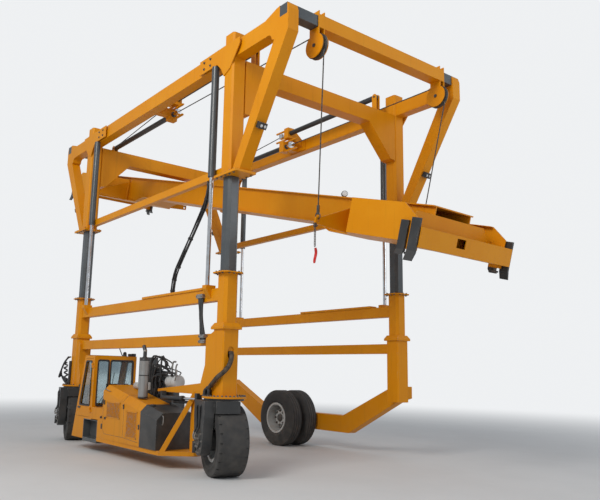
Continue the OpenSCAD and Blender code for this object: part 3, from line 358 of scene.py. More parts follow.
def painted(name, colour, faded, under, rough=0.38, dusty=0.6, wear=0.5, streaky=0.4, low=0.0, high=1.6,
            metallic=0.0, coat=0.0, grain=0.04, shine=0.5):
    """Material of weathered paint."""
    material = bpy.data.materials.new(name)
    material.use_nodes = True
    tree = material.node_tree
    shader = tree.nodes["Principled BSDF"]
    group = {g.name: place(tree, "ShaderNodeGroup", node_tree=g) for g in (patches, streaks, edges, dust)}
    group["edges"].inputs["Wear"].default_value = wear
    group["dust"].inputs["Low"].default_value, group["dust"].inputs["High"].default_value = low, high
    tone = mix_colour(tree, scaled(tree, group["patches"].outputs["Mask"], 0.6), colour, faded)
    dark = tuple(c * 0.35 for c in colour[:3]) + (1,)
    tone = mix_colour(tree, scaled(tree, group["streaks"].outputs["Mask"], streaky), tone, dark)
    tone = mix_colour(tree, group["edges"].outputs["Mask"], tone, under)
    film = scaled(tree, group["dust"].outputs["Mask"], dusty)
    tone = mix_colour(tree, film, tone, DUST)
    tree.links.new(tone, shader.inputs["Base Color"])
    rough_map = place(tree, "ShaderNodeMapRange", {"Value": film}, To_Min=rough, To_Max=0.85)
    tree.links.new(rough_map.outputs["Result"], shader.inputs["Roughness"])
    shader.inputs["Metallic"].default_value = metallic
    shader.inputs["Coat Weight"].default_value = coat
    shader.inputs["Specular IOR Level"].default_value = shine
    fine = place(tree, "ShaderNodeTexNoise", Scale=160.0, Detail=3.0)
    bump = place(tree, "ShaderNodeBump", {"Height": fine.outputs["Fac"],
                                          "Normal": group["edges"].outputs["Normal"]}, Strength=grain,
                 Distance=0.002)
    tree.links.new(bump.outputs["Normal"], shader.inputs["Normal"])
    return material


PRIMER, STEEL, RUST = (0.16, 0.10, 0.05, 1), (0.32, 0.31, 0.30, 1), (0.13, 0.055, 0.025, 1)
yellow = painted("yellow_paint", (0.66, 0.242, 0.001, 1), (0.69, 0.275, 0.004, 1), PRIMER, rough=0.42,
                 dusty=0.05, wear=0.6, streaky=0.22, shine=0.18)
yellow_low = painted("yellow_bodywork", (0.65, 0.238, 0.001, 1), (0.68, 0.27, 0.004, 1), STEEL, rough=0.44,
                     dusty=0.10, wear=0.8, streaky=0.28, high=1.3, shine=0.18)
slate = painted("slate_paint", (0.052, 0.060, 0.064, 1), (0.085, 0.095, 0.10, 1), STEEL, rough=0.33,
                dusty=0.15, wear=0.5, high=2.0, coat=0.1)
black = painted("black_paint", (0.022, 0.023, 0.024, 1), (0.05, 0.05, 0.05, 1), STEEL, rough=0.42,
                dusty=0.25, wear=0.6, high=1.2)
pale = painted("pale_rim_paint", (0.50, 0.51, 0.50, 1), (0.36, 0.35, 0.33, 1), RUST, rough=0.45, dusty=0.45,
               wear=1.2, streaky=0.5, high=1.2)
steel = painted("greased_steel", (0.10, 0.10, 0.10, 1), (0.20, 0.17, 0.14, 1), RUST, rough=0.42, dusty=0.3,
                wear=0.3, metallic=0.85)
silencer = painted("silencer_steel", (0.34, 0.34, 0.33, 1), (0.22, 0.17, 0.13, 1), RUST, rough=0.4,
                   dusty=0.4, wear=0.4, metallic=0.7)
print("paints:", [m.name for m in bpy.data.materials if m.use_nodes])

# %% [markdown]
# Chrome rods, rubber, rope, glass and lamps each have their own short recipe.
# The rods carry an oily, uneven gloss; the rubber is grey with dust in its low places.

# %% Chrome, rubber, glass and lamps
def simple(name, colour, other, rough, scale=6.0, metallic=0.0, bump_scale=60.0, bump=0.1, dusty=0.0,
           low=0.0, high=1.2):
    """Material of two tones mixed in patches, with optional dust."""
    material = bpy.data.materials.new(name)
    material.use_nodes = True
    tree = material.node_tree
    shader = tree.nodes["Principled BSDF"]
    cloud = place(tree, "ShaderNodeGroup", node_tree=patches)
    cloud.inputs["Scale"].default_value = scale
    tone = mix_colour(tree, cloud.outputs["Mask"], colour, other)
    if dusty:
        film = place(tree, "ShaderNodeGroup", node_tree=dust)
        film.inputs["Low"].default_value, film.inputs["High"].default_value = low, high
        tone = mix_colour(tree, scaled(tree, film.outputs["Mask"], dusty), tone, DUST)
    tree.links.new(tone, shader.inputs["Base Color"])
    spread = place(tree, "ShaderNodeMapRange", {"Value": cloud.outputs["Mask"]}, To_Min=rough,
                   To_Max=min(rough * 1.5, 1.0))
    tree.links.new(spread.outputs["Result"], shader.inputs["Roughness"])
    shader.inputs["Metallic"].default_value = metallic
    fine = place(tree, "ShaderNodeTexNoise", Scale=bump_scale, Detail=4.0)
    rise = place(tree, "ShaderNodeBump", {"Height": fine.outputs["Fac"]}, Strength=bump, Distance=0.003)
    tree.links.new(rise.outputs["Normal"], shader.inputs["Normal"])
    return material


chrome = simple("chrome_rod", (0.78, 0.79, 0.80, 1), (0.62, 0.60, 0.57, 1), 0.10, metallic=1.0, bump=0.02)
rubber = simple("tyre_rubber", (0.022, 0.022, 0.023, 1), (0.045, 0.043, 0.041, 1), 0.72, scale=9.0,
                bump=0.35, dusty=0.28, high=0.9)
hose_rubber = simple("hose_rubber", (0.018, 0.018, 0.019, 1), (0.04, 0.04, 0.04, 1), 0.45, scale=20.0,
                     bump=0.15)
rope_wire = simple("rope_wire", (0.13, 0.12, 0.11, 1), (0.05, 0.045, 0.04, 1), 0.5, scale=40.0,
                   metallic=0.8, bump_scale=300.0, bump=0.5)
seat_cloth = simple("seat_cloth", (0.03, 0.03, 0.033, 1), (0.06, 0.06, 0.065, 1), 0.9, scale=30.0,
                    bump_scale=400.0, bump=0.4)
red_tag = simple("red_tag", (0.62, 0.02, 0.015, 1), (0.45, 0.02, 0.015, 1), 0.5, bump=0.05)
lamp_lens = simple("lamp_lens", (0.70, 0.72, 0.72, 1), (0.55, 0.57, 0.58, 1), 0.08, bump_scale=90.0,
                   bump=0.3)


def window_glass(name, tint):
    """Clear, slightly tinted glass with a little haze."""
    material = bpy.data.materials.new(name)
    material.use_nodes = True
    tree = material.node_tree
    shader = tree.nodes["Principled BSDF"]
    film = place(tree, "ShaderNodeGroup", node_tree=patches)
    film.inputs["Scale"].default_value = 3.0
    tone = mix_colour(tree, scaled(tree, film.outputs["Mask"], 0.4), tint, tuple(c * 0.8 for c in tint[:3])
                      + (1,))
    tree.links.new(tone, shader.inputs["Base Color"])
    haze = place(tree, "ShaderNodeMapRange", {"Value": film.outputs["Mask"]}, To_Min=0.02, To_Max=0.09)
    tree.links.new(haze.outputs["Result"], shader.inputs["Roughness"])
    shader.inputs["IOR"].default_value = 1.45
    shader.inputs["Transmission Weight"].default_value = 1.0
    return material


glass = window_glass("window_glass", (0.62, 0.70, 0.72, 1))
print("materials in all:", len(bpy.data.materials))

# %% Give every CAD node its surface
surface_of = {
    yellow: "mid_frame_near mid_frame_far side_frame_near side_frame_far cross_beams hoist_brackets "
            "sleeve_front sleeve_rear spreader_beam spreader_end_front spreader_end_rear",
    yellow_low: "lower_frame_near lower_frame_far cab_shell cab_door engine_cover cab_deck",
    slate: "leg_columns lift_barrels slide_beams engine_block cab_steps",
    black: "fuel_tank fork_front fork_rear hoist_barrels corner_guides work_lamps",
    chrome: "lift_rods_near lift_rods_far hoist_rods_low hoist_rods_high",
    pale: "rim_front rim_rear rim_far",
    silencer: "exhaust",
    steel: "sheaves_front sheaves_rear twistlocks lift_hooks",
    rope_wire: "ropes_front ropes_rear",
    rubber: "tyre_front tyre_rear tyre_far",
    hose_rubber: "hose_bundle",
    glass: "cab_glass door_glass",
    seat_cloth: "driver_seat",
}
for material, names in surface_of.items():
    for name in names.split():
        mesh = nodes[name].data
        if mesh.materials:
            mesh.materials[0] = material
        else:
            mesh.materials.append(material)
left = set(nodes) - {n for names in surface_of.values() for n in names.split()}
print("nodes without a surface:", sorted(left))

# %% [markdown]
# ## Camera, light and floor
# The camera was solved from the straight edges of the machine: it stands low, front left of the cab,
# and looks slightly up. A tall soft light stands on the camera's left, as the open sky does.

# %% The photograph's camera
camera = bpy.data.objects.new("camera", bpy.data.cameras.new("camera"))
bpy.context.scene.collection.objects.link(camera)
bpy.context.scene.camera = camera
# Focal length, picture width and optical centre in pixels, and the sensor's width in millimetres
FOCAL, WIDE, CENTRE, SENSOR = 658, 600, 268.75, 36
EYE = (11.526, -7.748, 1.576)
right, down = Vector((0.61, 0.7921, 0.0224)), Vector((-0.1298, 0.1278, -0.9833))
ahead = Vector((-0.7817, 0.5969, 0.1808))
camera.matrix_world = Matrix.Translation(EYE) @ Matrix((right, -down, -ahead)).transposed().to_4x4()
camera.data.sensor_width = SENSOR
camera.data.lens = FOCAL * SENSOR / WIDE
camera.data.shift_x = (WIDE / 2 - CENTRE) / WIDE
camera.data.clip_end = 500
print("lens", round(camera.data.lens, 2), "mm")

# %% Floor, world and lamps
BACKDROP = (0.86, 0.875, 0.89, 1)
bm = bmesh.new()
bmesh.ops.create_grid(bm, x_segments=1, y_segments=1, size=160)
ground_material = bpy.data.materials.new("pale_ground")
ground_material.use_nodes = True
tree = ground_material.node_tree
shader = tree.nodes["Principled BSDF"]
grit = place(tree, "ShaderNodeGroup", node_tree=patches)
grit.inputs["Scale"].default_value = 0.8
concrete = mix_colour(tree, scaled(tree, grit.outputs["Mask"], 0.3), (0.62, 0.62, 0.61, 1),
                      (0.56, 0.56, 0.55, 1))
tree.links.new(concrete, shader.inputs["Base Color"])
shader.inputs["Roughness"].default_value = 0.9
# Far away the floor takes the backdrop's colour, so no horizon cuts across the picture
spot = place(tree, "ShaderNodeNewGeometry")
reach = place(tree, "ShaderNodeVectorMath", {0: spot.outputs["Position"]}, operation="LENGTH")
far_off = place(tree, "ShaderNodeMapRange", {"Value": reach.outputs["Value"]},
                interpolation_type="SMOOTHSTEP")
far_off.inputs["From Min"].default_value, far_off.inputs["From Max"].default_value = 7.0, 24.0
haze = place(tree, "ShaderNodeEmission", Color=BACKDROP, Strength=1.0)
veil = place(tree, "ShaderNodeMixShader", {0: far_off.outputs["Result"], 1: shader.outputs[0],
                                           2: haze.outputs[0]})
tree.links.new(veil.outputs[0], tree.nodes["Material Output"].inputs["Surface"])
ground = add_piece("ground", bm, ground_material)
ground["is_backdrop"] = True

world = bpy.data.worlds.new("sky")
bpy.context.scene.world = world
world.use_nodes = True
tree = world.node_tree
ray = place(tree, "ShaderNodeLightPath")
lit = place(tree, "ShaderNodeBackground", Color=(0.80, 0.85, 0.92, 1), Strength=0.55)
seen = place(tree, "ShaderNodeBackground", Color=BACKDROP, Strength=1.0)
pick = place(tree, "ShaderNodeMixShader", {0: ray.outputs["Is Camera Ray"], 1: lit.outputs[0],
                                           2: seen.outputs[0]})
tree.links.new(pick.outputs[0], tree.nodes["World Output"].inputs["Surface"])


def area_lamp(name, at, target, size, power, colour):
    """Soft square lamp that faces its target."""
    lamp = bpy.data.objects.new(name, bpy.data.lights.new(name, "AREA"))
    bpy.context.scene.collection.objects.link(lamp)
    lamp.data.size, lamp.data.energy, lamp.data.color = size, power, colour
    lamp.location = at
    lamp.rotation_euler = (Vector(target) - Vector(at)).to_track_quat("-Z", "Y").to_euler()


area_lamp("key", (7, -15, 13), (0, 0, 3), 7, 1750, (1.0, 0.97, 0.93))
area_lamp("fill", (16, 8, 9), (1, 0, 3), 9, 520, (0.92, 0.95, 1.0))
bpy.context.scene.view_settings.view_transform = "Standard"

# %% [markdown]
# ## Ropes
# Each hoist rope comes from a cylinder's rod head in the middle of the machine, runs along the beam,
# turns over a sheave and falls to its hook. It is made of four pieces: the free run by the rod head rides
# on the upper stage, the part by the sheave follows the sliding sleeve, and the run and the fall stay
# fixed.

# %% Points of the four ropes
FIT = 0.0003
ROPE_R = SHEAVE_R - GROOVE + ROPE_D / 2 + FIT
RING_R, SOCKET_L, ROPE_LEAD = 0.052, 0.120, 0.110
EYE_R, RING_IN, LUG_HALF = 0.03, 0.043, 0.015
RING_DROP = EYE_R - FIT + math.sqrt(RING_IN ** 2 - LUG_HALF ** 2)
LOAD_Y, LOAD_Z = LOAD.col[1].to_3d(), LOAD.col[2].to_3d()


def rope_points(s, t):
    """Where the rope meets its socket, its knee, its sheave and the rod head."""
    centre = Vector((s * SLIDE_X, SHIFT[s] + t * SHEAVE_SPAN / 2, SHEAVE_Z))
    pull = centre - in_load(s * LUG_X, t * LUG_Y, LUG_Z)
    lean = math.atan2(-pull.dot(LOAD_Y), pull.dot(LOAD_Z))
    ring = in_load(s * LUG_X, t * LUG_Y - RING_DROP * math.sin(lean), LUG_Z + RING_DROP * math.cos(lean))
    dx, dz = s * (ring.x - centre.x), ring.z - centre.z
    a = math.atan2(dz, dx) + math.acos(ROPE_R / math.hypot(dx, dz))
    touch = centre + Vector((s * ROPE_R * math.cos(a), 0, ROPE_R * math.sin(a)))
    knee = touch + Vector((ring.x - touch.x, 0, ring.z - touch.z)).normalized() * ROPE_LEAD
    socket_top = ring + (knee - ring).normalized() * (RING_R + SOCKET_L + FIT)
    arc = [centre + Vector((s * ROPE_R * math.cos(b), 0, ROPE_R * math.sin(b)))
           for b in (a + (math.pi / 2 - a) * k / 16 for k in range(17))]
    head = Vector((s * HEAD_X, t * HOIST_Y, HEAD_Z[s]))
    return socket_top, knee, arc, head


print("front near rope falls", round((rope_points(1, -1)[1] - rope_points(1, -1)[0]).length, 3), "m")

# %% Falls, wraps and runs
for s, end in ((1, "front"), (-1, "rear")):
    for t, side in ((-1, "near"), (1, "far")):
        socket_top, knee, arc, head = rope_points(s, t)
        bm = bmesh.new()
        sweep(bm, [socket_top.lerp(knee, k / 24) for k in range(25)], ROPE_D / 2)
        fall = add_piece(f"rope_fall_{end}_{side}", bm, rope_wire)
        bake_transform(fall)
        if t < 0:
            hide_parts(f"ropes_{end}")
        bm = bmesh.new()
        sweep(bm, [knee, knee.lerp(arc[0], 0.5)] + arc, ROPE_D / 2)
        add_piece(f"rope_wrap_{end}_{side}", bm, rope_wire, f"shift_{end}")
        parting = head + (arc[-1] - head) * ((PARTING_X - HEAD_X) / (SLIDE_X - HEAD_X))
        bm = bmesh.new()
        sweep(bm, [arc[-1].lerp(parting, k / 12) for k in range(13)], ROPE_D / 2)
        run = add_piece(f"rope_run_{end}_{side}", bm, rope_wire)
        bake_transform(run)
        bm = bmesh.new()
        sweep(bm, [parting.lerp(head, k / 8) for k in range(9)], ROPE_D / 2)
        free = add_piece(f"rope_free_{end}_{side}", bm, rope_wire, "upper")
        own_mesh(free)

# %% [markdown]
# ## Hoses
# A bundle of hydraulic hoses hangs from the tie down to the tray on the middle rail.
# The solids hold one fat tube there. Here it is six hoses, bound with straps, each with its own slack.

# %% Hose bundle
HOSE_TOP, HOSE_LOW, BEND = Vector((2.25, -LEG_Y, 4.7397)), Vector((1.15, -LEG_Y, 2.9003)), math.radians(40)


def bundle_line():
    """The tube's own centre line: bend, slanted run, bend back."""
    fall, reach = HOSE_TOP.z - HOSE_LOW.z, HOSE_TOP.x - HOSE_LOW.x
    r = (fall * math.tan(BEND) - reach) / (math.sin(BEND) * math.tan(BEND) - 1 + math.cos(BEND)) / 2
    bend = [Vector((r * (1 - math.cos(a)), 0, r * math.sin(a))) for a in (BEND * k / 10 for k in range(11))]
    top = [HOSE_TOP - step for step in bend]
    low = [HOSE_LOW + step for step in bend]
    middle = [top[-1].lerp(low[-1], k / 10) for k in range(1, 10)]
    return top + middle + low[::-1]


random.seed(7)
line = bundle_line()
bm = bmesh.new()
STRANDS, BUNDLE_R = 6, 0.030
for k in range(STRANDS):
    turn0, strand_r = 2 * math.pi * k / STRANDS, random.choice((0.010, 0.012, 0.014))
    strand = []
    for i, p in enumerate(line):
        share = i / (len(line) - 1)
        a = turn0 + 1.6 * share + 0.3 * math.sin(5 * share + k)
        slack = math.sin(math.pi * share) * (0.012 * math.sin(k * 2.1 + 7 * share))
        strand.append(p + Vector((slack + BUNDLE_R * math.cos(a) * 0.9, BUNDLE_R * math.sin(a), 0)))
    sweep(bm, smooth_line(strand, 3), strand_r, 10)
for share in (0.04, 0.2, 0.36, 0.52, 0.68, 0.84, 0.97):
    i = int(share * (len(line) - 1))
    along = line[i + 1] - line[i - 1] if i else (0, 0, 1)
    band(bm, line[i], along, (0.034, 0.046), (-0.012, 0.012), 20)
bundle = add_piece("hose_strands", bm, hose_rubber)
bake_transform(bundle)
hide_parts("hose_bundle")
print("hose strands:", len(bundle.data.polygons), "faces")

# %% [markdown]
# ## Tyres
# The near tyres are wide and nearly bald, with notched shoulders that the solids already have. What a
# solid leaves out is the moulding of the sidewall: fine raised rings near the bead and below the
# shoulder, and short scuff ribs between them. They are lathed and set round each wheel, a few millimetres
# proud.

# %% Sidewall rings and ribs of the near tyres
def wheel_matrix(s):
    """Turns a wheel built on the Y axis into its parked place."""
    under_leg = Matrix.Translation((s * LEG_X, -LEG_Y, TYRE_R)) @ Matrix.Rotation(STEER, 4, "Z")
    return under_leg @ Matrix.Translation((0, WHEEL_IN, 0))


for s, end in ((1, "front"), (-1, "rear")):
    bm = bmesh.new()
    for e in (1, -1):
        face = e * TYRE_W / 2
        for r, proud, wide in ((0.425, 0.004, 0.006), (0.452, 0.003, 0.004), (0.372, 0.003, 0.004)):
            depth = 0.0 if r > 0.41 else 0.0018
            high = proud - depth
            ridge = [(r - wide, -0.004), (r - wide * 0.5, high), (r + wide * 0.5, high), (r + wide, -0.004)]
            lathe(bm, ridge, (0, face, 0), (0, e, 0), 96)
        for k in range(72):
            turn = Matrix.Rotation(2 * math.pi * k / 72, 4, "Y")
            low, high = sorted((face - e * 0.003, face + e * 0.002))
            block(bm, (-0.003, low, 0.431), (0.003, high, 0.447), turn)
    bmesh.ops.transform(bm, matrix=wheel_matrix(s), verts=bm.verts)
    made = add_piece(f"sidewall_rings_{end}", bm, rubber, f"wheel_{end}", smooth=30)
print("sidewall faces:", len(made.data.polygons))

# %% Twin tyres with ribbed treads
bm = bmesh.new()
for e in (1, -1):
    r, w, b = TWIN_R, TWIN_W / 2, RIM_R
    half = [(b, w - 0.03), (b + 0.02, w - 0.008), (b + 0.05, w), (b + 0.09, w - 0.004), (r - 0.11, w),
            (r - 0.07, w - 0.012), (r - 0.02, w - 0.03), (r, w - 0.045)]
    for y in (0.09, 0.03):
        half += [(r, y + 0.006), (r - 0.014, y + 0.004), (r - 0.014, y - 0.004), (r, y - 0.006)]
    centre = (0, TWIN_Y + e * (TWIN_W + TWIN_GAP) / 2, TWIN_R)
    lathe(bm, half + [(q, -h) for q, h in half[::-1]], centre, (0, 1, 0), 96)
twins = add_piece("ribbed_twin_tyres", bm, rubber, "wheel_far")
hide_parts("tyre_far")
print("twin tyre faces:", len(twins.data.polygons))

# %% [markdown]
# ## Bolts
# Flanges hold the leg stages, slewing rings and rims together, and a row of hexagon heads shows that at a
# glance. One head on its washer is a few faces, so rows of them go into one mesh for each moving body.

# %% One bolt, and rows of bolts on the frame
def bolt(bm, at, axis, size=0.026):
    """Hexagon head on a washer, standing on a face."""
    at, axis = Vector(at), Vector(axis).normalized()
    drum(bm, at - axis * 0.001, axis, size * 0.8, 0.004, 14)
    drum(bm, at + axis * 0.003, axis, size * 0.56, size * 0.6, 6, top=size * 0.52)


def bolt_circle(bm, centre, axis, radius, count, size, offset=0.0):
    """Bolts spaced evenly on a circle that stands upright, square to the wheel axle."""
    for k in range(count):
        a = 2 * math.pi * (k + offset) / count
        bolt(bm, Vector(centre) + Vector((radius * math.cos(a), 0, radius * math.sin(a))), axis, size)


UP, DOWN, NEAR, FAR = Vector((0, 0, 1)), Vector((0, 0, -1)), (0, -1, 0), (0, 1, 0)
RING_BOLTS, RING_BOLT_R, KNEE_CLEAR = 32, 0.318, 0.165
bm = bmesh.new()
for s in (1, -1):
    for k in range(RING_BOLTS):
        a = 2 * math.pi * (k + 0.5) / RING_BOLTS
        x, y = RING_BOLT_R * math.cos(a), RING_BOLT_R * math.sin(a)
        # The knee plate covers the ring towards the middle of the machine
        if not (-s * x > 0 and abs(y) < KNEE_CLEAR):
            bolt(bm, (s * LEG_X + x, -LEG_Y + y, RING_TOP), UP, 0.028)
add_piece("ring_bolts", bm, steel, "chassis")

EDGE = 0.168  # from the leg's centre line to a flange's row of bolts
for t, side in ((-1, "near"), (1, "far")):
    bm = bmesh.new()
    for s in (1, -1):
        for k in (-0.09, 0.0, 0.09):
            for x, y in ((k, EDGE), (k, -EDGE), (EDGE, k), (-EDGE, k)):
                for z, axis in zip(MIDDLE_FLANGE, (DOWN, UP)):
                    bolt(bm, (s * LEG_X + x, t * LEG_Y + y, z), axis)
    add_piece(f"middle_flange_bolts_{side}", bm, steel, f"mid_{side}")

bm = bmesh.new()
for t in (1, -1):
    for s in (1, -1):
        for k in (-0.17, -0.05, 0.07, 0.19, 0.31):
            for y in (EDGE, -EDGE):
                for z, axis in zip(TOP_FLANGE, (DOWN, UP)):
                    bolt(bm, (s * (LEG_X + k), t * LEG_Y + y, z), axis)
        for z in (6.78, 6.90):
            for x in (-0.75, -0.55):
                bolt(bm, (s * (LEG_X + x), t * (LEG_Y + 0.151), z), (0, t, 0), 0.03)
made = add_piece("top_frame_bolts", bm, steel, "upper")
print("top frame bolts:", len(made.data.polygons), "faces")

# %% Rim bolts and hub covers
RIM_DISC, HUB_END, RIM_BOLT_R = -0.024, 0.06, 0.212
for s, end in ((1, "front"), (-1, "rear")):
    bm = bmesh.new()
    bolt_circle(bm, (0, RIM_DISC, 0), NEAR, RIM_BOLT_R, 12, 0.03)
    bolt_circle(bm, (0, 0, 0), FAR, RIM_BOLT_R, 12, 0.03)
    bolt_circle(bm, (0, HUB_END, 0), FAR, 0.105, 8, 0.022)
    cap = [(0.0, 0.0), (0.07, 0.0), (0.066, 0.012), (0.045, 0.022), (0.0, 0.025)]
    lathe(bm, cap, (0, HUB_END - 0.002, 0), FAR, 32, closed=False)
    bmesh.ops.transform(bm, matrix=wheel_matrix(s), verts=bm.verts)
    add_piece(f"rim_bolts_{end}", bm, steel, f"wheel_{end}")

STAR_Y = TWIN_Y - 0.22
bm = bmesh.new()
bolt_circle(bm, (0, STAR_Y, TWIN_R), NEAR, 0.15, 8, 0.036)
bolt_circle(bm, (0, TWIN_Y - 0.03, TWIN_R), NEAR, 0.235, 16, 0.03, offset=0.5)
cap = [(0.0, 0.0), (0.085, 0.0), (0.08, 0.02), (0.05, 0.035), (0.0, 0.038)]
lathe(bm, cap, (0, STAR_Y + 0.001, TWIN_R), NEAR, 32, closed=False)
made = add_piece("far_hub_bolts", bm, steel, "wheel_far")
print("hub bolts:", len(made.data.polygons), "faces")

# %% [markdown]
# ## Window frames
# Each pane is held by a rubber strip with rounded corners, which hides the square corners of the cut-out.
# The strip is a ring between two rounded outlines, one outside the cut-out and one inside it.

# %% Rounded outlines and rubber rings
def rounded(corners, inset, radius, steps=5):
    """Corners of a convex outline, moved inwards by inset and rounded."""
    points = [Vector(c) for c in corners]
    moved = []
    for a, b, c in zip(points[-1:] + points[:-1], points, points[1:] + points[:1]):
        u, v = (b - a).normalized(), (c - b).normalized()
        n, m = Vector((-u.y, u.x)), Vector((-v.y, v.x))
        moved.append(b + (n + m) * inset / (1 + n.dot(m)))
    line = []
    for a, b, c in zip(moved[-1:] + moved[:-1], moved, moved[1:] + moved[:1]):
        u, v = (a - b).normalized(), (c - b).normalized()
        cut = radius / math.tan(math.acos(max(-1.0, min(1.0, u.dot(v)))) / 2)
        p, q = b + u * cut, b + v * cut
        for k in range(steps + 1):
            share = k / steps
            line.append((1 - share) ** 2 * p + 2 * share * (1 - share) * b + share ** 2 * q)
    return line


def rubber_ring(bm, corners, place_at, proud=0.010, corner=0.05):
    """Ring round a window; place_at turns (across, up, out) into a point."""
    section = ((-0.016, 0.0), (-0.013, proud), (0.010, proud), (0.014, -0.004))
    loops = [[bm.verts.new(place_at(p.x, p.y, out)) for p in rounded(corners, inset, corner)]
             for inset, out in section]
    for a, b in zip(loops, loops[1:] + loops[:1]):
        for i in range(len(a)):
            j = (i + 1) % len(a)
            bm.faces.new((a[i], a[j], b[j], b[i]))


SILL = 0.84
DOOR_PANE = [(-1.4607, SILL), (-0.965, SILL), (-0.965, 1.69), (-1.2299, 1.69)]
FRONT_PANES = (((-2.42, SILL), (-2.2, 1.71)), ((-2.155, 1.06), (-1.68, 1.71)))
RAKED_PANE = [(-2.42, 0.0), (-1.69, 0.0), (-1.69, 0.902), (-2.42, 0.902)]
CAB_HIGH = CAB_TOP - FLOOR_Z
SLOPE = Vector((CAB_RAKE, 0, CAB_HIGH)).normalized()
OUTWARD = Vector((-SLOPE.z, 0, SLOPE.x))
RAKED_FOOT = Vector((-1.5857, 0, SILL))

bm = bmesh.new()
for low, high in FRONT_PANES:
    corners = [low, (high[0], low[1]), high, (low[0], high[1])]
    rubber_ring(bm, corners, lambda y, z, out: Vector((CAB_X1 + out, y, z)))
rubber_ring(bm, DOOR_PANE, lambda x, z, out: Vector((x, BODY_Y + CAB_W + out, z)))
rubber_ring(bm, RAKED_PANE, lambda y, up, out: RAKED_FOOT + SLOPE * up + OUTWARD * out + Vector((0, y, 0)))
add_piece("window_seals", bm, hose_rubber, "chassis", smooth=50)
bm = bmesh.new()
rubber_ring(bm, DOOR_PANE, lambda x, z, out: Vector((x, BODY_Y - out, z)))
made = add_piece("door_seal", bm, hose_rubber, "door", smooth=50)
print("door seal:", len(made.data.polygons), "faces")

# %% [markdown]
# ## Bodywork fittings
# The engine cover has two mesh panels, rubber latches, an access door with a chamfered corner
# and a joint across its top. The cab has a lever on its door, a wiper, and lamps and a beacon on its roof.
# All of it is small and seated on the plate.

# %% Mesh panels of the engine cover
mesh_shadow = painted("mesh_shadow", (0.40, 0.135, 0.002, 1), (0.33, 0.11, 0.003, 1), PRIMER,
                      rough=0.7, dusty=0.2, wear=0.2, streaky=0.1, high=1.3)


def hood_top(x):
    """Height of the cover's flat top, which falls towards the front."""
    return HOOD_Z0 + HOOD_EDGE - (HOOD_Z0 - HOOD_Z1) / (HOOD_X1 - HOOD_X0) * (x - HOOD_X0)


def strip(bm, points, width, lift, axis):
    """Flat line along points on a face whose outward direction is axis."""
    axis = Vector(axis)
    for a, b in zip(points, points[1:]):
        a, b = Vector(a), Vector(b)
        ahead = (b - a).normalized()
        side = ahead.cross(axis).normalized() * width / 2
        over = ahead * width / 2
        low = [a - side - over, a + side - over, b + side + over, b - side + over]
        v = [bm.verts.new(p - axis * 0.001) for p in low] + [bm.verts.new(p + axis * lift) for p in low]
        for f in ((0, 1, 2, 3), (7, 6, 5, 4), (0, 4, 5, 1), (1, 5, 6, 2), (2, 6, 7, 3), (3, 7, 4, 0)):
            bm.faces.new([v[k] for k in f])


GRILLES = ((-0.15, 0.40, 0.68, 0.95), (0.69, 1.08, 0.40, 0.83))
MESH, WIRE, WIRE_HIGH = 0.022, 0.005, 0.002
bm = bmesh.new()
for x0, x1, z0, z1 in GRILLES:
    block(bm, (x0 - 0.004, BODY_Y - 0.002, z0 - 0.004), (x1 + 0.004, BODY_Y + 0.004, z1 + 0.004))
add_piece("mesh_backs", bm, mesh_shadow, "chassis")
bm = bmesh.new()
for x0, x1, z0, z1 in GRILLES:
    for k in range(1, int((x1 - x0) / MESH)):
        x, y = x0 + k * MESH, BODY_Y - 0.002
        strip(bm, [(x, y, z0), (x, y, z1)], WIRE, WIRE_HIGH, NEAR)
    for k in range(1, int((z1 - z0) / MESH)):
        y, z = BODY_Y - 0.003, z0 + k * MESH
        strip(bm, [(x0, y, z), (x1, y, z)], WIRE, WIRE_HIGH, NEAR)
    corners = [(x, BODY_Y, z) for x, z in ((x0, z0), (x1, z0), (x1, z1), (x0, z1), (x0, z0))]
    strip(bm, corners, 0.018, 0.006, NEAR)
made = add_piece("mesh_panels", bm, yellow_low, "chassis")
print("mesh panels:", len(made.data.polygons), "faces")

# %% Panel lines, latches and the tank's cap
JOINT_X, DOOR_FOOT, DOOR_END = 0.52, 0.375, 0.56
bm = bmesh.new()
access_door = [(-0.305, 1.02), (-0.305, 0.47), (-0.21, DOOR_FOOT), (DOOR_END, DOOR_FOOT),
               (DOOR_END, hood_top(DOOR_END) - 0.13)]
for outline in (access_door, [(DOOR_END, DOOR_FOOT), (1.14, 0.345)]):
    strip(bm, [(x, BODY_Y, z) for x, z in outline], 0.005, 0.001, NEAR)
joint = [(JOINT_X, BODY_Y, hood_top(JOINT_X) - HOOD_EDGE), (JOINT_X, BODY_Y + HOOD_EDGE, hood_top(JOINT_X)),
         (JOINT_X, BODY_Y + 0.56, hood_top(JOINT_X))]
strip(bm, joint[:2], 0.008, 0.0015, Vector((0, -1, 1)).normalized())
strip(bm, joint[1:], 0.008, 0.0015, UP)
for x, z in ((-0.256, 0.937), (0.557, 0.90), (1.17, 0.60)):
    block(bm, (x - 0.016, BODY_Y - 0.014, z - 0.04), (x + 0.016, BODY_Y + 0.002, z + 0.04), bevel=0.005)
    drum(bm, (x, BODY_Y - 0.012, z + 0.02), NEAR, 0.010, 0.010, 12)
for x, z in ((-0.37, 0.66), (-0.20, 0.655)):
    bolt(bm, (x, BODY_Y, z), NEAR, 0.034)
for z in (0.50, 0.95):
    block(bm, (-0.36, BODY_Y - 0.010, z - 0.045), (-0.315, BODY_Y + 0.002, z + 0.045), bevel=0.003)
drum(bm, (1.30, -2.32, hood_top(1.30) - 0.004), UP, 0.045, 0.03, 24, bevel=0.004)
made = add_piece("cover_fittings", bm, black, "chassis")
print("cover fittings:", len(made.data.polygons), "faces")

# %% Handles, roof fittings and wiper
def hose(bm, points, radius, steps=5, sides=8):
    """Round tube on a smooth curve through points."""
    sweep(bm, smooth_line(points, steps), radius, sides)


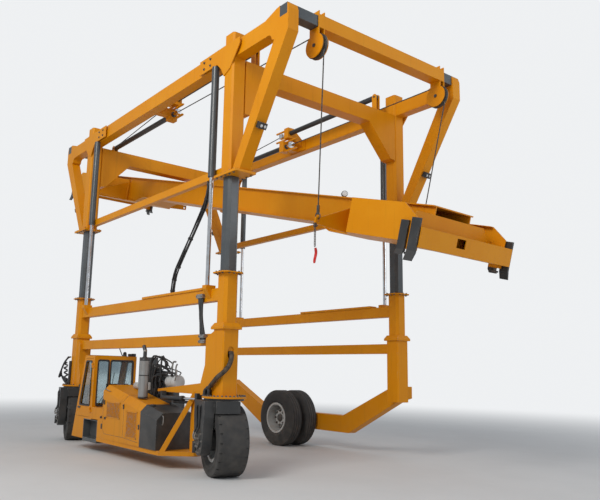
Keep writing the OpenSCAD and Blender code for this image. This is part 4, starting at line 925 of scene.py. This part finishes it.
bm = bmesh.new()
hose(bm, [(x, -2.40, z) for x, z in ((1.779, 0.68), (1.812, 0.69), (1.818, 0.75), (1.812, 0.81),
                                     (1.779, 0.82))],
     0.009, sides=10)
grip = [(x, BODY_Y + inwards, hood_top(x) - below)
        for x, inwards, below in ((-0.30, 0.04, 0.07), (-0.30, 0.0, 0.06), (-0.10, 0.0, 0.06),
                                  (-0.10, 0.04, 0.07))]
hose(bm, grip, 0.006, sides=10)
add_piece("bright_handles", bm, silencer, "chassis")

ROOF, BEACON = CAB_TOP - 0.001, (-0.90, -1.852)
bm = bmesh.new()
drum(bm, (*BEACON, ROOF), UP, 0.042, 0.022, 24, bevel=0.004)
dome = [(0.0, 0.0), (0.036, 0.0), (0.038, 0.03), (0.028, 0.062), (0.0, 0.074)]
lathe(bm, dome, (*BEACON, CAB_TOP + 0.018), UP, 28, closed=False)
sweep(bm, [(-0.90, -1.90, CAB_TOP), (-0.90, -1.93, 1.86), (-0.915, -1.965, 1.95)], 0.010, 8)
for y, r in ((-1.735, 0.036), (-1.655, 0.040)):
    block(bm, (-0.935, y - r, ROOF), (-0.87, y + r, CAB_TOP + 1.5 * r), bevel=0.012)
block(bm, (-1.28, -2.46, ROOF), (-1.22, -1.66, CAB_TOP + 0.012), bevel=0.003)
add_piece("roof_fittings", bm, black, "chassis")

bm = bmesh.new()
block(bm, (-1.52, BODY_Y - 0.018, 0.775), (-1.40, BODY_Y + 0.002, 0.805), bevel=0.006)
drum(bm, (-1.42, BODY_Y - 0.016, 0.79), NEAR, 0.018, 0.010, 16, bevel=0.003)
grip = [(x, BODY_Y - out, z) for x, out, z in (
    (-0.955, 0.004, 1.02), (-0.945, 0.019, 1.04), (-0.945, 0.019, 1.30), (-0.955, 0.004, 1.32))]
hose(bm, grip, 0.008, steps=4)
add_piece("door_lever", bm, black, "door")

bm = bmesh.new()
pivot = RAKED_FOOT + Vector((0, -2.06, 0)) - SLOPE * 0.03
drum(bm, pivot, OUTWARD, 0.018, 0.028, 16, bevel=0.003)
tip = pivot + SLOPE * 0.44 + Vector((0, 0.24, 0)) + OUTWARD * 0.02
sweep(bm, [pivot + OUTWARD * 0.02, pivot.lerp(tip, 0.5) + OUTWARD * 0.012, tip], 0.006, 8)
sweep(bm, [tip + SLOPE * e * 0.24 - OUTWARD * 0.014 for e in (-1, 1)], 0.007, 8)
made = add_piece("window_wiper", bm, hose_rubber, "chassis")
print("wiper:", len(made.data.polygons), "faces")

# %% [markdown]
# ## Engine bay
# Behind the cover the engine is a tangle of hoses, pale canisters and brackets, seen against the light.
# The hoses are loops between the cooler, the filters and the air cleaner,
# each one a smooth sweep with its own slack.

# %% Canisters, air cleaner cap and silencer trim
ENGINE_Y, CLEANER_Z, ALONG = -1.77, 1.345, (1, 0, 0)
FILTERS = ((0.33, 1.64, 0.095), (0.62, 1.52, 0.075), (0.80, 1.40, 0.06))
bm = bmesh.new()
drum(bm, (-0.03, -2.00, hood_top(0.05) + 0.066), ALONG, 0.062, 0.19, 28, bevel=0.012)
drum(bm, (0.30, -1.90, 1.18), UP, 0.055, 0.14, 24, bevel=0.010)
shell = [(0.0, 0.018), (0.085, 0.016), (0.110, 0.008), (0.121, -0.01), (0.121, -0.30), (0.114, -0.30)]
lathe(bm, shell, (1.182, ENGINE_Y, CLEANER_Z), ALONG, 40, closed=False)
for x in (0.93, 1.08):
    band(bm, (x, ENGINE_Y, CLEANER_Z), ALONG, (0.118, 0.127), (-0.012, 0.012), 40)
for x, top, r in FILTERS:
    lid = [(0.0, 0.012), (r * 0.7, 0.010), (r + 0.004, -0.004), (r + 0.004, -0.035), (r, -0.035)]
    lathe(bm, lid, (x, ENGINE_Y, top), UP, 32, closed=False)
add_piece("pale_canisters", bm, pale, "chassis")

SILENCER_X, SILENCER_Y, SILENCER_TOP = 0.80, -2.27, 1.72
bm = bmesh.new()
for z in (hood_top(SILENCER_X) + 0.03, 1.45, SILENCER_TOP - 0.008):
    band(bm, (SILENCER_X, SILENCER_Y, z), UP, (0.083, 0.0885), (-0.008, 0.008), 48)
cone = [(0.0855, -0.002), (0.0855, 0.0), (0.05, 0.045), (0.034, 0.055), (0.031, 0.055)]
lathe(bm, cone, (SILENCER_X, SILENCER_Y, SILENCER_TOP), UP, 40, closed=False)
tail = ((SILENCER_X, 1.76), (SILENCER_X, 1.86), (0.799, 1.878), (0.7925, 1.892), (0.741, 1.968))
sweep(bm, [(x, SILENCER_Y, z) for x, z in tail], 0.0335, 24)
made = add_piece("tail_pipe", bm, black, "chassis")
print("tail pipe:", len(made.data.polygons), "faces")

# %% Hoses and brackets of the engine bay
random.seed(11)
bm = bmesh.new()
for k in range(22):
    x0, x1 = random.uniform(0.18, 0.75), random.uniform(0.45, 1.18)
    z0, z1 = random.uniform(1.10, 1.35), random.uniform(1.20, 1.62)
    y0, y1 = random.uniform(-1.90, -1.84), random.uniform(-1.88, -1.70)
    rise = random.uniform(0.04, 0.26)
    top = min(max(z0, z1) + rise, CAB_TOP)
    path = [(x0, y0, z0), (x0 + 0.02, y0 - 0.02, (z0 + top) / 2), (x0 * 0.6 + x1 * 0.4, y0 - 0.01, top),
            (x1, y1, (z1 + top) / 2), (x1, y1, z1)]
    hose(bm, path, random.choice((0.010, 0.013, 0.018)))
for k in range(7):
    x = 0.22 + k * 0.13
    block(bm, (x, -1.90, 1.06), (x + 0.06, -1.84, 1.12 + 0.05 * (k % 3)), bevel=0.006)
for z in (1.25, 1.45, 1.65):
    hose(bm, [(0.16, -1.86, z), (0.24, -1.88, z + 0.02), (0.30, -1.86, z - 0.06)], 0.022, 4, 10)
# The cooler's guard and its louvres
block(bm, (-0.165, -1.886, 1.08), (0.145, -1.872, 1.75), bevel=0.004)
for k in range(15):
    z = 1.12 + k * 0.042
    block(bm, (-0.15, -1.892, z), (0.13, -1.884, z + 0.022), bevel=0.002)
add_piece("engine_hoses", bm, hose_rubber, "chassis", smooth=50)

PIPES = (
    (0.016, (0.98, -1.80, 1.45), (0.985, -1.81, 1.58), (1.01, -1.81, 1.69), (1.07, -1.79, 1.70)),
    (0.014, (1.10, -1.80, 1.44), (1.115, -1.81, 1.60), (1.14, -1.80, 1.66)),
    (0.012, (1.17, -1.86, 1.36), (1.235, -1.87, 1.44), (1.24, -1.86, 1.56)),
)
bm = bmesh.new()
for radius, *points in PIPES:
    hose(bm, points, radius, sides=10)
block(bm, (0.45, -1.86, 1.58), (0.52, -1.83, 1.66), bevel=0.004)
made = add_piece("engine_pipes", bm, silencer, "chassis")
print("engine pipes:", len(made.data.polygons), "faces")

# %% [markdown]
# ## Hoses along the legs, and steering cylinders
# A thick hose leaves an oval hole in the front leg and drops to the slewing ring, where it parts into
# thinner ones. At the rear leg the hoses hang in an open arch. A second bundle links the two rails.
# A steering cylinder lies under each arm.

# %% Hoses at the legs
hose_sleeve = simple("hose_sleeve", (0.075, 0.052, 0.033, 1), (0.035, 0.028, 0.022, 1), 0.6,
                     scale=14.0, bump_scale=220.0, bump=0.6)
bm = bmesh.new()
hose(bm, [(3.058, -1.975, 1.835), (3.10, -1.985, 1.822), (3.122, -2.0, 1.75), (3.112, -2.03, 1.65),
          (3.10, -2.10, 1.56), (3.03, -2.175, 1.47), (2.91, -2.178, 1.385), (2.79, -2.172,
                  1.30)], 0.036, 6, 14)
add_piece("leg_hose_front", bm, hose_sleeve, "chassis")

ON_RING = RING_TOP + 0.001
bm = bmesh.new()
for k, (x, y) in enumerate(((2.66, -2.12), (2.70, -2.16), (2.75, -2.13), (2.72, -2.20), (2.80, -2.18))):
    drop = [(2.80 - 0.01 * k, -2.172, 1.31), (2.74 + 0.01 * k, -2.17, 1.30), (x, y, 1.26), (x, y, ON_RING)]
    hose(bm, drop, 0.026, sides=10)
    band(bm, (x, y, ON_RING), UP, (0.027, 0.036), (0.0, 0.03), 16)
for k, dy in enumerate((-0.002, -0.02, -0.038, -0.056)):
    arch = [(-3.05, -2.14 + dy, 1.785), (-3.17, -2.14 + dy, 1.775 - 0.02 * k),
            (-3.40, -2.13 + dy, 1.69 - 0.05 * k),
            (-3.60, -2.12 + dy, 1.52 - 0.06 * k), (-3.62 + 0.03 * k, -2.10 + dy * 0.5, 1.36),
            (-3.52 + 0.10 * k, -2.06 + dy * 0.5, 1.23), (-3.16 + 0.02 * k, -2.10 + dy, ON_RING)]
    hose(bm, arch, 0.016, 6, 10)
for k in range(5):
    loop = [(-3.10 - 0.02 * k, -2.15 - 0.01 * (k % 2), 1.20 + 0.1 * k), (-3.18 - 0.03 * k, -2.19,
            1.24 + 0.1 * k),
            (-3.12 - 0.03 * k, -2.145, 1.30 + 0.09 * k)]
    hose(bm, loop, 0.018, steps=4)
block(bm, (-3.08, -2.16, ON_RING), (-3.00, -2.121, 1.70), bevel=0.006)
made = add_piece("ring_hoses", bm, hose_rubber, "chassis", smooth=50)
print("ring hoses:", len(made.data.polygons), "faces")

# %% Hoses between the rails, with their clamps
LINK_Y, LINK_HOSES, LINK_STEPS = -2.085, 4, 22
LINK_LOW, LINK_HIGH = Vector((2.42, LINK_Y, 2.02)), Vector((2.30, LINK_Y, 2.78))
bm = bmesh.new()
for k in range(LINK_HOSES):
    dx, dy = (k - 1.5) * 0.034, 0.006 * math.sin(2.4 * k)
    swing = 0.012 * math.cos(1.7 * k)
    path = []
    for j in range(LINK_STEPS + 1):
        u = j / LINK_STEPS
        belly = math.sin(math.pi * u)
        aside = Vector((dx * (0.7 + 0.3 * math.cos(6 * u)) + swing * belly, dy - 0.02 * belly, 0))
        path.append(LINK_LOW.lerp(LINK_HIGH, u) + aside)
    sweep(bm, path, 0.021, 10)
link = add_piece("rail_link_hoses", bm, hose_rubber)
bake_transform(link)

CLAMP_OUT, CLAMP_IN = -2.118, -2.048


def clamp(bm, x0, x1, z0, z1, inset, bolt_z):
    """Clamp block on a rail's near face, with a bolt set in from each end."""
    block(bm, (x0, CLAMP_OUT, z0), (x1, CLAMP_IN, z1), bevel=0.006)
    for x in (x0 + inset, x1 - inset):
        bolt(bm, (x, CLAMP_OUT, bolt_z), NEAR, 0.022)


bm = bmesh.new()
for z in (1.99, 2.075):
    clamp(bm, 2.335, 2.505, z, z + 0.055, 0.017, z + 0.028)
add_piece("hose_clamps_low", bm, silencer, "chassis")
bm = bmesh.new()
clamp(bm, 2.21, 2.39, 2.72, 2.79, 0.018, 2.755)
made = add_piece("hose_clamps_high", bm, silencer, "mid_near")
print("hose clamps:", len(made.data.polygons), "faces")

# %% Steering cylinders under the arms
STEER_Y, LUG_NEAR, LUG_FAR, ARM_FOOT = -2.10, -2.125, -2.034, 1.20
STEERING = (("front", (1.22, 1.085), (1.90, 1.10), (2.30, 1.112)),
            ("rear", (-2.16, 1.10), (-2.34, 1.105), (-2.44, 1.112)))


def steering_lug(bm, x, reach, z):
    """Plate that carries one end of a cylinder from the arm above it."""
    x0, x1 = sorted((x, x + reach))
    block(bm, (x0, LUG_NEAR, z), (x1, LUG_FAR, ARM_FOOT), bevel=0.004)


for end, *spots in STEERING:
    foot, gland, eye = (Vector((x, STEER_Y, z)) for x, z in spots)
    ahead = (eye - foot).normalized()
    forward = math.copysign(1, ahead.x)
    bm = bmesh.new()
    drum(bm, foot, ahead, 0.040, (gland - foot).length, 28, bevel=0.004)
    drum(bm, gland - ahead * 0.05, ahead, 0.046, 0.06, 28, bevel=0.004)
    if end == "front":
        drum(bm, Vector((1.55, -2.06, 1.035)), ahead, 0.026, 0.50, 20, bevel=0.004)
    steering_lug(bm, foot.x, -forward * 0.06, foot.z - 0.03)
    steering_lug(bm, eye.x, forward * 0.07, 1.085)
    add_piece(f"steer_barrel_{end}", bm, black, "chassis")
    bm = bmesh.new()
    drum(bm, gland, ahead, 0.020, (eye - gland).length, 24)
    add_piece(f"steer_rod_{end}", bm, chrome, "chassis")
print("steering cylinders:", len(STEERING))

# %% [markdown]
# ## Hubs, lamps and chain
# The wheel motors carry hose fittings on their outer faces. Work lamps need lenses, or they are only dark
# boxes. A tagged chain hangs from the near front lug, its links standing at right angles to each other.

# %% Fittings on the wheel motors
MOTOR_END, MOTOR_DISC, PORT_Z = -0.4065, -0.3855, 0.565
LEG_FACE = MOTOR_END + 0.008
for s, end in ((1, "front"), (-1, "rear")):
    turn = Matrix.Translation((s * LEG_X, -LEG_Y, 0)) @ Matrix.Rotation(STEER, 4, "Z")
    bm = bmesh.new()
    bolt_circle(bm, (0, MOTOR_END, TYRE_R), NEAR, 0.09, 8, 0.024, offset=0.5)
    bolt_circle(bm, (0, MOTOR_DISC, TYRE_R), NEAR, 0.175, 10, 0.022)
    for x in (-0.045, 0.045):
        drum(bm, (x, MOTOR_END + 0.002, PORT_Z), NEAR, 0.022, 0.03, 6)
        drum(bm, (x, MOTOR_END - 0.028, PORT_Z), NEAR, 0.015, 0.02, 12)
        port = [(x, MOTOR_END - 0.03, PORT_Z), (x, MOTOR_END - 0.045, 0.60), (x * 1.2, MOTOR_END - 0.03,
                0.66)]
        hose(bm, port, 0.012, steps=4)
    bmesh.ops.transform(bm, matrix=turn, verts=bm.verts)
    add_piece(f"hub_fittings_{end}", bm, silencer, f"fork_{end}")
    bm = bmesh.new()
    for x in (-0.045, 0.045):
        climb = [(x * 1.2, MOTOR_END - 0.03, 0.65), (x * 1.4, LEG_FACE, 0.74), (x * 1.8, LEG_FACE, 0.90),
                 (x * 2.0, LEG_FACE, 1.02), (x * 2.0, MOTOR_END + 0.06, 1.10)]
        hose(bm, climb, 0.015, 6, 10)
    drum(bm, (-0.13, -0.40, 0.34), UP, 0.035, 0.17, 20, bevel=0.006)
    bmesh.ops.transform(bm, matrix=turn, verts=bm.verts)
    made = add_piece(f"hub_hoses_{end}", bm, hose_rubber, f"fork_{end}", smooth=50)
print("hub hoses:", len(made.data.polygons), "faces")

# %% Lamp lenses
STRUT_FOOT, STRUT_HEAD, LAMP_Z, LAMP_FACE = (3.28, 4.70), (4.45, 6.63), 5.35, 0.095
run, rise = STRUT_HEAD[0] - STRUT_FOOT[0], STRUT_HEAD[1] - STRUT_FOOT[1]
lean = math.atan2(run, rise)
lamp_x = STRUT_FOOT[0] + (LAMP_Z - STRUT_FOOT[1]) / rise * run
bm = bmesh.new()
rims = bmesh.new()
for s in (1, -1):
    for t in (1, -1):
        base = Matrix.Translation((s * lamp_x, t * LEG_Y, LAMP_Z)) @ Matrix.Rotation(s * lean, 4, "Y")
        for y in (-0.035, 0.035):
            spot, out = base @ Vector((s * LAMP_FACE, y, 0)), base.to_3x3() @ Vector((s, 0, 0))
            lathe(bm, [(0.0, 0.007), (0.015, 0.006), (0.027, 0.001)], spot, out, 24, closed=False)
            lathe(rims, [(0.026, -0.002), (0.032, -0.002), (0.032, 0.010), (0.028, 0.010)], spot, out, 24)
add_piece("lamp_lenses", bm, lamp_lens, "upper")
add_piece("lamp_rims", rims, steel, "upper")

LAMP_OUT = Vector((1, -0.65, -0.1)).normalized()
lamp_back = in_load(3.88, -0.49, 0.80) + Vector((-0.03, 0.02, 0.02))
bm = bmesh.new()
drum(bm, in_load(3.88, -0.49, 0.755), LOAD_Z, 0.012, 0.03, 12)
drum(bm, lamp_back, LAMP_OUT, 0.055, 0.06, 28, bevel=0.008)
add_piece("spreader_lamp", bm, black, "spreader")
bm = bmesh.new()
lathe(bm, [(0.0, 0.008), (0.03, 0.006), (0.046, 0.0)], lamp_back + LAMP_OUT * 0.061, LAMP_OUT, 28,
      closed=False)
made = add_piece("spreader_lamp_lens", bm, lamp_lens, "spreader")
print("lenses:", len(made.data.polygons), "faces")

# %% Chain with its tag under the near front lug
def chain_link(bm, centre, across, length=0.052, width=0.034, wire=0.006):
    """One upright oval chain link; across is its flat direction."""
    across = Vector(across).normalized()
    straight, r = length / 2 - width / 2, width / 2 - wire / 2
    path = []
    for k in range(24):
        a = 2 * math.pi * k / 24
        up = r * math.sin(a) + math.copysign(straight, math.sin(a))
        path.append(Vector(centre) + across * r * math.cos(a) + UP * up)
    path += path[:2]
    sweep(bm, path, wire, 7)


LINKS, PITCH, FIRST_LINK, TAG_LONG, TAG_HALF = 8, 0.040, 0.08, 0.25, 0.028
hang = in_load(LUG_X, -1.365, 0.19)
bm = bmesh.new()
drum(bm, hang + Vector((0.03, -0.045, -0.035)), (-0.3, 1, 0), 0.014, 0.09, 16)
block(bm, hang + Vector((-0.02, -0.02, -0.06)), hang + Vector((0.02, 0.02, 0.01)), bevel=0.004)
for k in range(LINKS):
    chain_link(bm, hang - UP * (FIRST_LINK + k * PITCH), ALONG if k % 2 else FAR)
add_piece("lug_chain", bm, steel, "spreader")

tag_top = hang - UP * (FIRST_LINK + LINKS * PITCH)
bm = bmesh.new()
for k in range(2):
    edge = Vector((TAG_HALF, 0.006 * k, 0))
    rows = []
    for i in range(9):
        u = i / 8
        middle = tag_top - UP * TAG_LONG * u
        middle += Vector((0.008 * math.sin(4 * u + k), 0.010 * math.sin(5 * u) + 0.004 + 0.006 * k, 0))
        taper = 1 - 0.35 * abs(2 * u - 1) ** 4
        rows.append([bm.verts.new(middle + edge * e * taper) for e in (-1, 1)])
    for a, b in zip(rows, rows[1:]):
        bm.faces.new((a[0], a[1], b[1], b[0]))
bmesh.ops.solidify(bm, geom=bm.faces[:], thickness=0.002)
made = add_piece("chain_tag", bm, red_tag, "spreader")
print("tag:", len(made.data.polygons), "faces")

# %% Print the visual size and finish
low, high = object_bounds()
print("visual size", [round(h - l, 3) for l, h in zip(low, high)])
